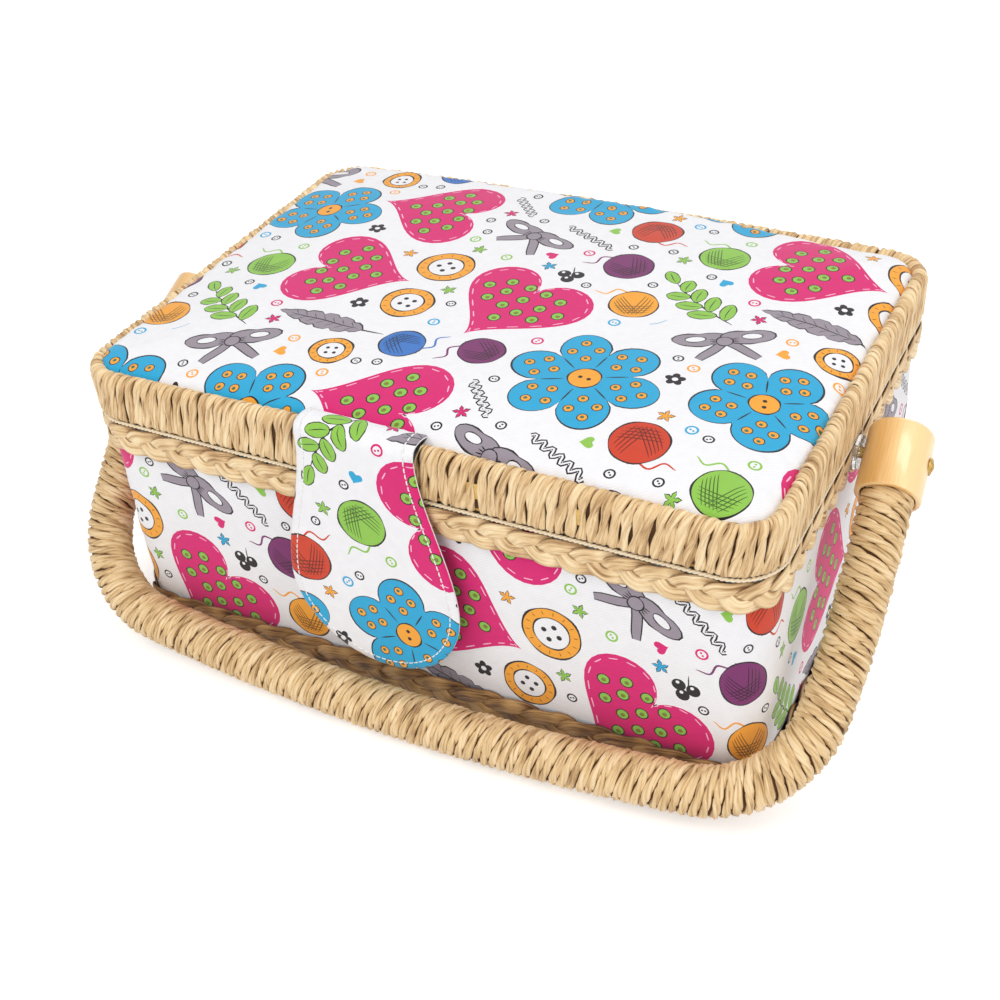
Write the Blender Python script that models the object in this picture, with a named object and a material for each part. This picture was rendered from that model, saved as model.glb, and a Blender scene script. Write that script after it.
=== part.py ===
"""A cloth-covered sewing basket with a padded lid, a closing tab and a raffia-wound carrying handle.

The basket stands on the plane z = 0 with the centre of its base at the origin.
The front, where the tab hangs and the handle lies, faces -Y, and +X is to the right.
Every size is in metres. An inset is measured inwards from the lid's outer outline.
"""
import math

import bmesh
import bpy
from mathutils import Matrix, Vector

# Gaps between neighbouring pieces
GAP = 0.0003
HINGE_GAP = 0.0001

# Overall box
LID_WIDTH = 0.260
LID_DEPTH = 0.182
CORNER_RADIUS = 0.0175
SEAM_HEIGHT = 0.0955
WALL_TAPER = 0.001

# Sheet materials
CLOTH = 0.0008
WALL_BOARD = 0.0025
BASE_BOARD = 0.003
BASE_PAD_EDGE = 0.002
BASE_PAD_CROWN = 0.0025

# Straw bands and piping on the body
TOP_BRAID_THICKNESS = 0.002
TOP_BRAID_HEIGHT = 0.012
BASE_BRAID_THICKNESS = 0.0022
BASE_BRAID_HEIGHT = 0.014
PIPING_DIAMETER = 0.0015

# Lid rim: a wooden hoop wound with raffia
RIM_WIDTH = 0.0064
RIM_HEIGHT = 0.0183
RIM_SHOULDER_DROP = 0.0045
RIM_INNER_DROP = 0.0014
RIM_WRAP = 0.0016
RIM_BOW = 0.002
RIM_RIBS = 110
RIM_RIB_DEPTH = 0.0004
RIM_SLOPE_SHARE = 0.25
RIM_RIDGE_SHARE = 0.7
RIM_SLOPE_VALLEY_SHARE = 0.7

# Padded top and lining of the lid
LID_BOARD = 0.0025
LID_LINING = 0.001
LINING_CROWN = 0.002
PAD_EDGE_DROP = 0.0014
PAD_CROWN = 0.0048
PAD_SHOULDER = 0.040
PAD_CROWN_POWER = 0.7
PAD_RING_SHARES = (0.0, 0.03, 0.08, 0.16, 0.28, 0.46, 0.7, 0.97)
LINING_RING_SHARES = (0.0, 0.15, 0.4)

# Cloth hinge at the back
HINGE_CLOTH = 0.0006
HINGE_HALF_LENGTH = 0.090
HINGE_LEAF_HEIGHT = 0.0095

# Closing tab
TAB_CENTRE = -0.010
TAB_THICKNESS = 0.0022
TAB_TOP_HALF_WIDTH = 0.0225
TAB_END_RADIUS = 0.0335
TAB_BOTTOM_HEIGHT = 0.0188
TAB_AXIS_BELOW_CREST = 0.0018
TAB_STANDOFF = 0.0017
TAB_EDGE = 0.0009
TAB_BEND_RADIUS = 0.0022
TAB_TAIL = 0.0011
TAB_TAIL_DROP = 0.0009

# Sewn press stud behind the tab
STUD_HEIGHT = 0.048
STUD_RADIUS = 0.0045
STUD_BASE = 0.0008
STUD_KNOB_RADIUS = 0.0018
SOCKET_THICKNESS = 0.0016
SOCKET_BORE_RADIUS = 0.0022

# Handle: a bent rod wound with raffia
PIVOT_BELOW_SEAM = 0.005
PIVOT_FORWARD = 0.00765
BAR_STANDOFF = 0.0152
ROD_RADIUS = 0.006
WRAP_RADIUS = 0.0086
WRAP_RIB_DEPTH = 0.0006
HANDLE_RIBS = 84
HANDLE_SPLAY = 0.073
ARM_TURN = 0.155
HANDLE_CORNER_RADIUS = 0.0403
BAR_BOW_RADIUS = 1.0
ARM_BEND_ANGLE = 0.281
ARM_BEND_LENGTH = 0.026
ROD_TAIL = 0.006
WRAP_SEAT = 0.0045

# Turned wooden sleeves on the handle's ends
SLEEVE_RADIUS = 0.0109
SLEEVE_REACH = 0.0145
SLEEVE_TOP = 0.011
SLEEVE_END_WALL = 0.0043
SLEEVE_DOME = 0.005
SLEEVE_LIP = 0.0006
SEAT_DEPTH = 0.0005

# Pivot bolts, clear spacers, washers and nuts
BOLT_RADIUS = 0.002
BOLT_HEAD_RADIUS = 0.003
BOLT_HEAD_FLANGE = 0.0007
BOLT_HEAD_DOME = 0.0012
BOLT_TAIL = 0.0012
SPACER_RADIUS = 0.006
SPACER_THICKNESS = 0.0016
WASHER_RADIUS = 0.005
WASHER_THICKNESS = 0.001
NUT_RADIUS = 0.004
NUT_THICKNESS = 0.003

# Facets
CORNER_STEPS = 5
LONG_SIDE_STEPS = 6
SHORT_SIDE_STEPS = 3
TURN_STEPS = 24
SMALL_TURN_STEPS = 16
NUT_SIDES = 6
ROD_SIDES = 10
ROD_STATIONS = 46
TAB_SIDE_STEPS = 6
TAB_END_STEPS = 16
DOME_STEPS = 3
PIPING_SIDES = 6
SMOOTH_ANGLE = math.radians(40)
CORNER_FLOOR_SHARE = 0.04
SOLVER_STEPS = 60

# Places worked out from the sizes above
HALF_WIDTH = LID_WIDTH / 2
HALF_DEPTH = LID_DEPTH / 2
BODY_TOP = SEAM_HEIGHT - GAP / 2
LID_BOTTOM = SEAM_HEIGHT + GAP / 2
CREST = SEAM_HEIGHT + RIM_HEIGHT
COVER_INSET = TOP_BRAID_THICKNESS + GAP
WALL_INSET = COVER_INSET + CLOTH + GAP
LINING_INSET = WALL_INSET + WALL_BOARD + GAP
INNER_INSET = LINING_INSET + CLOTH
PAD_INSET = RIM_WIDTH + GAP
FRAME_INSET = RIM_WRAP + GAP
BASE_BOARD_BOTTOM = CLOTH + GAP
BASE_BOARD_TOP = BASE_BOARD_BOTTOM + BASE_BOARD
LID_BOARD_BOTTOM = LID_BOTTOM + LID_LINING + GAP
LID_BOARD_TOP = LID_BOARD_BOTTOM + LID_BOARD
PAD_EDGE = CREST - PAD_EDGE_DROP
PIPING_HEIGHT = BODY_TOP - PIPING_DIAMETER / 2
BRAID_TOP = PIPING_HEIGHT - PIPING_DIAMETER / 2 - GAP
PIVOT_HEIGHT = SEAM_HEIGHT - PIVOT_BELOW_SEAM
SPACER_INNER = HALF_WIDTH + GAP
SPACER_OUTER = SPACER_INNER + SPACER_THICKNESS
SLEEVE_STANDOFF = SLEEVE_RADIUS / math.cos(HANDLE_SPLAY) + SPACER_RADIUS * math.tan(HANDLE_SPLAY)
PIVOT_OUT = SPACER_OUTER + GAP + SLEEVE_STANDOFF
SEAT_OUT = PIVOT_OUT + SLEEVE_RADIUS - SEAT_DEPTH
ROD_BORE = ROD_RADIUS + GAP
WRAP_BORE = WRAP_RADIUS + GAP
BOLT_HOLE = BOLT_RADIUS + GAP
TAB_PLANE = -(HALF_DEPTH + TAB_STANDOFF + TAB_THICKNESS / 2)
TAB_AXIS_HEIGHT = CREST - TAB_AXIS_BELOW_CREST
LID_AXIS_Y = HALF_DEPTH + GAP + HINGE_CLOTH + HINGE_GAP
PIVOT = Vector((0, -PIVOT_FORWARD, PIVOT_HEIGHT))
LID_AXIS = Vector((0, LID_AXIS_Y, SEAM_HEIGHT))
TAB_AXIS = Vector((TAB_CENTRE, TAB_PLANE, TAB_AXIS_HEIGHT))

# Colours as linear red, green and blue, then roughness and metallic
STRAW = ((0.68, 0.50, 0.28), 0.6, 0.0)
DARK_STRAW = ((0.34, 0.20, 0.09), 0.65, 0.0)
HANDLE_STRAW = ((0.62, 0.42, 0.20), 0.6, 0.0)
PRINTED_CLOTH = ((0.86, 0.78, 0.76), 0.85, 0.0)
PLAIN_CLOTH = ((0.88, 0.85, 0.80), 0.85, 0.0)
CARD = ((0.52, 0.46, 0.38), 0.9, 0.0)
FOAM = ((0.85, 0.82, 0.72), 0.95, 0.0)
WOOD = ((0.83, 0.58, 0.26), 0.35, 0.0)
BRASS = ((0.45, 0.33, 0.17), 0.35, 1.0)
STEEL = ((0.60, 0.60, 0.60), 0.35, 1.0)
CLEAR_PLASTIC = ((0.80, 0.85, 0.86), 0.15, 0.0)


def clear_scene():
    for obj in list(bpy.data.objects):
        bpy.data.objects.remove(obj, do_unlink=True)


def make_pivot(name, place, parent=None, parent_place=None):
    """An empty on a joint's axis, to which the pieces that turn there are parented."""
    pivot = bpy.data.objects.new(name, None)
    bpy.context.collection.objects.link(pivot)
    pivot.location = place
    if parent:
        pivot.parent = parent
        pivot.location = place - parent_place
    return pivot


def finish(obj, look):
    colour, roughness, metallic = look
    material = bpy.data.materials.new(obj.name + "_finish")
    material.use_nodes = True
    shader = material.node_tree.nodes["Principled BSDF"]
    shader.inputs["Base Color"].default_value = (*colour, 1)
    shader.inputs["Roughness"].default_value = roughness
    shader.inputs["Metallic"].default_value = metallic
    material.diffuse_color = (*colour, 1)
    obj.data.materials.append(material)


def loft(name, loops, look, closed=False, rides=None):
    """Join loops of equal length into a solid, as a closed ring of loops or with flat end caps.

    rides is a pivot and its place: the piece is parented there with its origin on the axis.
    """
    mesh = bmesh.new()
    rows = [[mesh.verts.new(point) for point in loop] for loop in loops]
    count = len(rows[0])
    pairs = list(zip(rows, rows[1:]))
    if closed:
        pairs.append((rows[-1], rows[0]))
    for row, following in pairs:
        for k in range(count):
            j = (k + 1) % count
            mesh.faces.new((row[k], row[j], following[j], following[k]))
    if not closed:
        mesh.faces.new(rows[0])
        mesh.faces.new(rows[-1])
    bmesh.ops.recalc_face_normals(mesh, faces=mesh.faces)
    data = bpy.data.meshes.new(name)
    mesh.to_mesh(data)
    mesh.free()
    obj = bpy.data.objects.new(name, data)
    bpy.context.collection.objects.link(obj)
    if rides:
        pivot, place = rides
        data.transform(Matrix.Translation(-place))
        obj.parent = pivot
    data.shade_smooth()
    data.set_sharp_from_angle(angle=SMOOTH_ANGLE)
    finish(obj, look)
    return obj


def cut(obj, cutter):
    boolean = obj.modifiers.new("bore", "BOOLEAN")
    boolean.operation = "DIFFERENCE"
    boolean.solver = "EXACT"
    boolean.object = cutter


def wall_line(inset, height):
    """Inset of a wall that leans in towards the base, at a height."""
    return inset + WALL_TAPER * (1 - height / SEAM_HEIGHT)


def lift(x):
    """How far the rim bows up between its corners, at a place along the width."""
    return RIM_BOW * (1 - (x / HALF_WIDTH) ** 2)


def outline(inset, long_steps=1, short_steps=1):
    """Rounded rectangle inside the lid's outline, anticlockwise from the right side's rear end."""
    half_x = HALF_WIDTH - inset
    half_y = HALF_DEPTH - inset
    radius = max(CORNER_RADIUS - inset, half_y * CORNER_FLOOR_SHARE)
    points = []
    corners = ((1, 1, long_steps), (-1, 1, short_steps), (-1, -1, long_steps), (1, -1, short_steps))
    for quarter, (side_x, side_y, steps) in enumerate(corners):
        centre = Vector((side_x * (half_x - radius), side_y * (half_y - radius)))
        for k in range(CORNER_STEPS + 1):
            angle = (quarter + k / CORNER_STEPS) * math.pi / 2
            points.append(centre + radius * Vector((math.cos(angle), math.sin(angle))))
        start = points[-1]
        end_x, end_y, _ = corners[(quarter + 1) % 4]
        end_centre = Vector((end_x * (half_x - radius), end_y * (half_y - radius)))
        angle = (quarter + 1) * math.pi / 2
        end = end_centre + radius * Vector((math.cos(angle), math.sin(angle)))
        for k in range(1, steps):
            points.append(start.lerp(end, k / steps))
    return points


def even_outline(count):
    """Evenly spaced points on the lid's outer outline, each with its outward normal."""
    run_x = LID_WIDTH - 2 * CORNER_RADIUS
    run_y = LID_DEPTH - 2 * CORNER_RADIUS
    quarter_arc = CORNER_RADIUS * math.pi / 2
    sides = ((run_y, 1, -1), (run_x, 1, 1), (run_y, -1, 1), (run_x, -1, -1))
    total = 2 * (run_x + run_y) + 4 * quarter_arc
    places = []
    for k in range(count):
        left = total * k / count
        for side, (run, corner_x, corner_y) in enumerate(sides):
            heading = side * math.pi / 2
            normal = Vector((math.cos(heading), math.sin(heading)))
            along = Vector((-normal.y, normal.x))
            start = Vector((corner_x * run_x / 2, corner_y * run_y / 2))
            if left <= run:
                places.append((start + along * left + normal * CORNER_RADIUS, normal))
                break
            left -= run
            if left <= quarter_arc or side == 3:
                turned = heading + left / CORNER_RADIUS
                normal = Vector((math.cos(turned), math.sin(turned)))
                places.append((start + along * run + normal * CORNER_RADIUS, normal))
                break
            left -= quarter_arc
    return places


def ring(name, profile, look, rides=None, lean=False, bowed=()):
    """A closed section of (inset, height) points carried round the box.

    lean makes the section follow the wall's taper, and bowed lists the points that rise with the rim.
    """
    long_steps = LONG_SIDE_STEPS if bowed else 1
    loops = []
    for index, (inset, height) in enumerate(profile):
        place = wall_line(inset, height) if lean else inset
        loop = []
        for point in outline(place, long_steps):
            rise = lift(point.x) if index in bowed else 0
            loop.append((point.x, point.y, height + rise))
        loops.append(loop)
    return loft(name, loops, look, closed=True, rides=rides)


def plate(name, inset, bottom, top, look, rides=None):
    loops = [[(point.x, point.y, height) for point in outline(inset)] for height in (bottom, top)]
    return loft(name, loops, look, rides=rides)


def pad_loops(inset, bottom, edge, crown, shares, drop=0.0, bow=False):
    """Loops of a crowned pad from its flat underside, up its edge and over its top."""
    half = HALF_DEPTH - inset
    base = outline(inset, LONG_SIDE_STEPS, SHORT_SIDE_STEPS)
    loops = [[(point.x, point.y, bottom) for point in base]]
    for share in shares:
        reach = share * half
        swell = math.sin(math.pi / 2 * min(1.0, reach / PAD_SHOULDER)) ** PAD_CROWN_POWER
        loop = []
        for point in outline(inset + reach, LONG_SIDE_STEPS, SHORT_SIDE_STEPS):
            rise = lift(point.x) if bow else 0
            loop.append((point.x, point.y, edge + rise + crown * swell - drop))
        loops.append(loop)
    return loops


def turned(name, profile, look, place, axis, steps=TURN_STEPS, closed=False, rides=None):
    """A turned piece: (distance along the axis, radius) points spun about an axis through a place."""
    direction = axis.normalized()
    side = direction.orthogonal().normalized()
    other = direction.cross(side)
    loops = []
    for distance, radius in profile:
        centre = place + direction * distance
        loop = []
        for k in range(steps):
            angle = 2 * math.pi * k / steps
            loop.append(centre + radius * (math.cos(angle) * side + math.sin(angle) * other))
        loops.append(loop)
    return loft(name, loops, look, closed=closed, rides=rides)


def washer(name, start, end, bore, radius, look, place, axis, steps=SMALL_TURN_STEPS, rides=None):
    profile = ((start, bore), (start, radius), (end, radius), (end, bore))
    return turned(name, profile, look, place, axis, steps, closed=True, rides=rides)


def side_reach(distance, start_pitch):
    """Forward and downward travel of the handle, seen from the side, after a distance."""
    curve = ARM_BEND_ANGLE / ARM_BEND_LENGTH
    straight = min(distance, SLEEVE_REACH)
    forward = straight * math.cos(start_pitch)
    down = straight * math.sin(start_pitch)
    bend = min(max(distance - SLEEVE_REACH, 0.0), ARM_BEND_LENGTH)
    pitch = start_pitch + curve * bend
    forward += (math.sin(pitch) - math.sin(start_pitch)) / curve
    down += (math.cos(start_pitch) - math.cos(pitch)) / curve
    rest = max(distance - SLEEVE_REACH - ARM_BEND_LENGTH, 0.0)
    forward += rest * math.cos(pitch)
    down += rest * math.sin(pitch)
    return forward, down, pitch


class HandleOutline:
    """Half of the handle's outline in its own plane: straight sleeve end, arm, corner and half bar."""

    def __init__(self, arm):
        self.arm = arm
        self.arm_radius = arm / ARM_TURN
        self.arm_end = HANDLE_SPLAY - ARM_TURN
        out, reach = self.straight(SLEEVE_REACH)
        out, reach = self.arc(out, reach, HANDLE_SPLAY, self.arm_end, self.arm_radius)
        edge = out - HANDLE_CORNER_RADIUS * math.cos(self.arm_end)
        self.bar_angle = math.asin(edge / (BAR_BOW_RADIUS - HANDLE_CORNER_RADIUS))
        self.corner_end = self.bar_angle - math.pi / 2
        self.corner = HANDLE_CORNER_RADIUS * (self.arm_end - self.corner_end)
        self.half_length = SLEEVE_REACH + arm + self.corner + BAR_BOW_RADIUS * self.bar_angle
        self.reach = self.at(self.half_length)[1]

    def straight(self, distance):
        return PIVOT_OUT + distance * math.sin(HANDLE_SPLAY), distance * math.cos(HANDLE_SPLAY)

    def arc(self, out, reach, start, end, radius):
        out += radius * (math.cos(end) - math.cos(start))
        reach += radius * (math.sin(start) - math.sin(end))
        return out, reach

    def at(self, distance):
        """Distance out from the middle, reach from the pivot and heading after a distance."""
        if distance <= SLEEVE_REACH:
            out, reach = self.straight(distance)
            return out, reach, HANDLE_SPLAY
        out, reach = self.straight(SLEEVE_REACH)
        left = distance - SLEEVE_REACH
        heading = HANDLE_SPLAY
        runs = ((self.arm, self.arm_radius), (self.corner, HANDLE_CORNER_RADIUS), (math.inf, BAR_BOW_RADIUS))
        for run, radius in runs:
            turn = min(left, run) / radius
            out, reach = self.arc(out, reach, heading, heading - turn, radius)
            heading -= turn
            left -= run
            if left <= 0:
                break
        return out, reach, heading


def fit_handle():
    """The handle whose bar rests on the table just in front of the box, and its sleeves' pitch."""
    forward = HALF_DEPTH + BAR_STANDOFF - PIVOT_FORWARD
    down = PIVOT_HEIGHT - WRAP_RADIUS
    shortest = 0.0
    longest = forward + down
    for _ in range(SOLVER_STEPS):
        arm = (shortest + longest) / 2
        shape = HandleOutline(arm)
        run, drop, _ = side_reach(shape.reach, 0.0)
        if math.hypot(run, drop) < math.hypot(forward, down):
            shortest = arm
        else:
            longest = arm
    start_pitch = math.atan2(down, forward) - math.atan2(drop, run)
    return shape, start_pitch


HANDLE, SLEEVE_PITCH = fit_handle()
HANDLE_LENGTH = 2 * HANDLE.half_length


def handle_frame(distance):
    """Centre, tangent and two cross directions of the handle, from the right end to the left."""
    mirrored = distance > HANDLE.half_length
    local = HANDLE_LENGTH - distance if mirrored else distance
    out, reach, heading = HANDLE.at(local)
    forward, down, pitch = side_reach(reach, SLEEVE_PITCH)
    centre = Vector((out, -PIVOT_FORWARD - forward, PIVOT_HEIGHT - down))
    cosine = math.cos(heading)
    tangent = Vector((math.sin(heading), -cosine * math.cos(pitch), -cosine * math.sin(pitch)))
    if mirrored:
        centre.x = -centre.x
        tangent = Vector((tangent.x, -tangent.y, -tangent.z))
    normal = Vector((0, -math.sin(pitch), math.cos(pitch)))
    return centre, tangent, normal, tangent.cross(normal)


def tube_loop(distance, radius):
    centre, _, normal, across = handle_frame(distance)
    loop = []
    for k in range(ROD_SIDES):
        angle = 2 * math.pi * k / ROD_SIDES
        loop.append(centre + radius * (math.cos(angle) * normal + math.sin(angle) * across))
    return loop


def rod_stations():
    """Distances along the handle from the seat of the winding in one sleeve to that in the other."""
    run = HANDLE_LENGTH - 2 * WRAP_SEAT
    return [WRAP_SEAT + run * k / ROD_STATIONS for k in range(ROD_STATIONS + 1)]


def cylinder_cutter(name, pieces):
    """A cutter of one or more cylinders along X, each from a start to an end with a radius."""
    mesh = bmesh.new()
    for start, end, radius in pieces:
        rows = []
        for x in (start, end):
            row = []
            for k in range(SMALL_TURN_STEPS):
                angle = (2 * k + 1) * math.pi / SMALL_TURN_STEPS
                place = PIVOT + radius * Vector((0, math.cos(angle), math.sin(angle)))
                row.append(mesh.verts.new((x, place.y, place.z)))
            rows.append(row)
        for k in range(SMALL_TURN_STEPS):
            j = (k + 1) % SMALL_TURN_STEPS
            mesh.faces.new((rows[0][k], rows[0][j], rows[1][j], rows[1][k]))
        mesh.faces.new(rows[0])
        mesh.faces.new(rows[1])
    bmesh.ops.recalc_face_normals(mesh, faces=mesh.faces)
    data = bpy.data.meshes.new(name)
    mesh.to_mesh(data)
    mesh.free()
    cutter = bpy.data.objects.new(name, data)
    bpy.context.collection.objects.link(cutter)
    cutter.hide_render = True
    cutter.display_type = "WIRE"
    return cutter


def make_body(bolt_bore):
    """The box: base, walls, covers, lining, straw bands and piping."""
    plate("base_cover", wall_line(COVER_INSET, 0), 0, CLOTH, PLAIN_CLOTH)
    plate("base_board", wall_line(LINING_INSET, 0), BASE_BOARD_BOTTOM, BASE_BOARD_TOP, CARD)
    pad_bottom = BASE_BOARD_TOP + GAP
    pad_inset = wall_line(INNER_INSET, 0) + GAP
    loops = pad_loops(pad_inset, pad_bottom, pad_bottom + BASE_PAD_EDGE, BASE_PAD_CROWN, LINING_RING_SHARES)
    loft("base_pad", loops, PLAIN_CLOTH)
    fold_bottom = BODY_TOP - CLOTH - GAP
    wall_top = fold_bottom - GAP
    wall = section(WALL_INSET, WALL_BOARD, BASE_BOARD_BOTTOM, wall_top)
    cover = section(COVER_INSET, CLOTH, BASE_BOARD_BOTTOM, wall_top)
    fold_inset = PIPING_DIAMETER + 2 * GAP
    lining = (
        (fold_inset, fold_bottom),
        (fold_inset, BODY_TOP),
        (INNER_INSET, BODY_TOP),
        (INNER_INSET, pad_bottom),
        (LINING_INSET, pad_bottom),
        (LINING_INSET, fold_bottom),
    )
    braid = section(0, TOP_BRAID_THICKNESS, BRAID_TOP - TOP_BRAID_HEIGHT, BRAID_TOP)
    cut(ring("body_wall", wall, CARD, lean=True), bolt_bore)
    cut(ring("body_cover", cover, PRINTED_CLOTH, lean=True), bolt_bore)
    cut(ring("body_lining", lining, PLAIN_CLOTH, lean=True), bolt_bore)
    cut(ring("top_braid", braid, STRAW), bolt_bore)
    base_inset = COVER_INSET - GAP - BASE_BRAID_THICKNESS
    base = section(base_inset, BASE_BRAID_THICKNESS, 0, BASE_BRAID_HEIGHT)
    ring("base_braid", base, DARK_STRAW, lean=True)
    half = PIPING_DIAMETER / 2
    piping = []
    for k in range(PIPING_SIDES):
        angle = 2 * math.pi * k / PIPING_SIDES
        piping.append((half + GAP / 2 + half * math.cos(angle), PIPING_HEIGHT + half * math.sin(angle)))
    ring("rim_piping", piping, PLAIN_CLOTH)


def section(inset, thickness, bottom, top):
    """An upright rectangular wall section."""
    inner = inset + thickness
    return ((inset, bottom), (inset, top), (inner, top), (inner, bottom))


def make_hinge(rides):
    """Two leaves of cloth across the seam at the back, one on the body and one on the lid."""
    inner = HALF_DEPTH + GAP
    outer = inner + HINGE_CLOTH
    leaves = (
        ("hinge_strip_body", BODY_TOP - HINGE_LEAF_HEIGHT, BODY_TOP, None),
        ("hinge_strip_lid", LID_BOTTOM, LID_BOTTOM + HINGE_LEAF_HEIGHT, rides),
    )
    for name, bottom, top, leaf_rides in leaves:
        loops = []
        for x in (-HINGE_HALF_LENGTH, HINGE_HALF_LENGTH):
            loops.append([(x, inner, bottom), (x, outer, bottom), (x, outer, top), (x, inner, top)])
        loft(name, loops, PRINTED_CLOTH, rides=leaf_rides)


def make_lid(rides):
    """The lid: wound hoop, board, foam, crowned cover and padded lining."""
    frame = section(FRAME_INSET, RIM_WIDTH - FRAME_INSET, LID_BOTTOM, CREST - RIM_INNER_DROP - RIM_WRAP)
    ring("lid_frame", frame, WOOD, rides=rides, bowed=(1, 2))
    make_rim_wrap(rides)
    plate("lid_board", PAD_INSET, LID_BOARD_BOTTOM, LID_BOARD_TOP, CARD, rides=rides)
    bottom = LID_BOARD_TOP + GAP
    outer = pad_loops(PAD_INSET, bottom, PAD_EDGE, PAD_CROWN, PAD_RING_SHARES, bow=True)
    under = PAD_INSET + CLOTH
    inner = pad_loops(under, bottom, PAD_EDGE, PAD_CROWN, PAD_RING_SHARES, drop=CLOTH, bow=True)
    loft("lid_cover", cap_shell(outer, inner), PRINTED_CLOTH, rides=rides)
    foam_drop = CLOTH + GAP
    foam = pad_loops(under + GAP, bottom, PAD_EDGE, PAD_CROWN, PAD_RING_SHARES, drop=foam_drop, bow=True)
    loft("lid_foam", foam, FOAM, rides=rides)
    lining_top = LID_BOTTOM + LID_LINING
    lining = pad_loops(PAD_INSET, lining_top, LID_BOTTOM, -LINING_CROWN, LINING_RING_SHARES)
    loft("lid_lining", lining, PLAIN_CLOTH, rides=rides)


def cap_shell(outer, inner):
    """Loops of an open-bottomed shell, from the top of its inside round its hem to its top outside."""
    return list(reversed(inner)) + outer


def make_rim_wrap(rides):
    """The raffia winding over the hoop, with one rib for every pair of turns."""
    shoulder = CREST - RIM_SHOULDER_DROP
    inner_top = CREST - RIM_INNER_DROP
    inside = inner_top - RIM_WRAP + GAP
    wide = RIM_WIDTH
    eased = RIM_RIB_DEPTH * RIM_SLOPE_VALLEY_SHARE
    # Inset, height, and how far the valley between two ribs lies in and down from there
    profile = (
        (0, LID_BOTTOM, RIM_RIB_DEPTH, 0),
        (0, shoulder, RIM_RIB_DEPTH, 0),
        (wide * RIM_SLOPE_SHARE, CREST - RIM_WRAP / 2, eased, eased),
        (wide * RIM_RIDGE_SHARE, CREST, 0, RIM_RIB_DEPTH),
        (wide, inner_top, 0, 0),
        (wide, inside, 0, 0),
        (RIM_WRAP, inside, 0, 0),
        (RIM_WRAP, LID_BOTTOM, 0, 0),
    )
    stations = even_outline(2 * RIM_RIBS)
    loops = []
    for inset, height, valley_in, valley_down in profile:
        loop = []
        for index, (point, normal) in enumerate(stations):
            valley = index % 2
            place = point - normal * (inset + valley * valley_in)
            rise = lift(place.x) if height > LID_BOTTOM else 0
            loop.append((place.x, place.y, height + rise - valley * valley_down))
        loops.append(loop)
    loft("lid_rim_wrap", loops, STRAW, closed=True, rides=rides)


def tab_half_width(height):
    """Half the tab's width, easing from its narrow top to its round end."""
    end_centre = TAB_BOTTOM_HEIGHT + TAB_END_RADIUS
    share = min(1.0, max(0.0, (TAB_AXIS_HEIGHT - height) / (TAB_AXIS_HEIGHT - end_centre)))
    ease = share * share * (3 - 2 * share)
    return TAB_TOP_HALF_WIDTH + (TAB_END_RADIUS - TAB_TOP_HALF_WIDTH) * ease


def tab_loop(top, margin, y):
    """The tab's outline at a depth y, drawn in from its edge by a margin."""
    end_centre = TAB_BOTTOM_HEIGHT + TAB_END_RADIUS
    side = []
    for k in range(TAB_SIDE_STEPS):
        height = top + (end_centre - top) * k / TAB_SIDE_STEPS
        side.append((tab_half_width(height) - margin, height))
    points = [(-half, height) for half, height in side]
    radius = TAB_END_RADIUS - margin
    for k in range(TAB_END_STEPS + 1):
        angle = math.pi + math.pi * k / TAB_END_STEPS
        points.append((radius * math.cos(angle), end_centre + radius * math.sin(angle)))
    points += [(half, height) for half, height in reversed(side)]
    return [(TAB_CENTRE + x, y, z) for x, z in points]


def make_tab(rides):
    """The hanging flap, which ends in a rounded knuckle on its axis."""
    half = TAB_THICKNESS / 2
    loops = [
        tab_loop(TAB_AXIS_HEIGHT, TAB_EDGE, TAB_PLANE + half),
        tab_loop(TAB_AXIS_HEIGHT + half, 0, TAB_PLANE),
        tab_loop(TAB_AXIS_HEIGHT, TAB_EDGE, TAB_PLANE - half),
    ]
    loft("tab_flap", loops, PRINTED_CLOTH, rides=rides)


def make_tab_root(rides):
    """The fixed part of the tab, from its axis up over the rim to the edge of the pad."""
    half = TAB_THICKNESS / 2
    bend = TAB_BEND_RADIUS
    over = CREST + RIM_BOW + GAP + half
    tail = -(HALF_DEPTH - PAD_INSET - TAB_TAIL)
    path = [Vector((TAB_PLANE, TAB_AXIS_HEIGHT + half + GAP))]
    bend_centre = Vector((TAB_PLANE + bend, over - bend))
    for k in range(DOME_STEPS + 1):
        angle = math.pi - math.pi / 2 * k / DOME_STEPS
        path.append(bend_centre + bend * Vector((math.cos(angle), math.sin(angle))))
    path.append(Vector((-(HALF_DEPTH - RIM_WIDTH), over)))
    path.append(Vector((tail, over - TAB_TAIL_DROP + GAP)))
    near = []
    far = []
    for index, point in enumerate(path):
        before = path[max(index - 1, 0)]
        after = path[min(index + 1, len(path) - 1)]
        along = (after - before).normalized()
        side = Vector((-along.y, along.x)) * half
        near.append(point + side)
        far.append(point - side)
    strip = near + list(reversed(far))
    loops = []
    for x in (TAB_CENTRE - TAB_TOP_HALF_WIDTH, TAB_CENTRE + TAB_TOP_HALF_WIDTH):
        loops.append([(x, point.x, point.y) for point in strip])
    loft("tab_root", loops, PRINTED_CLOTH, rides=rides)


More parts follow.
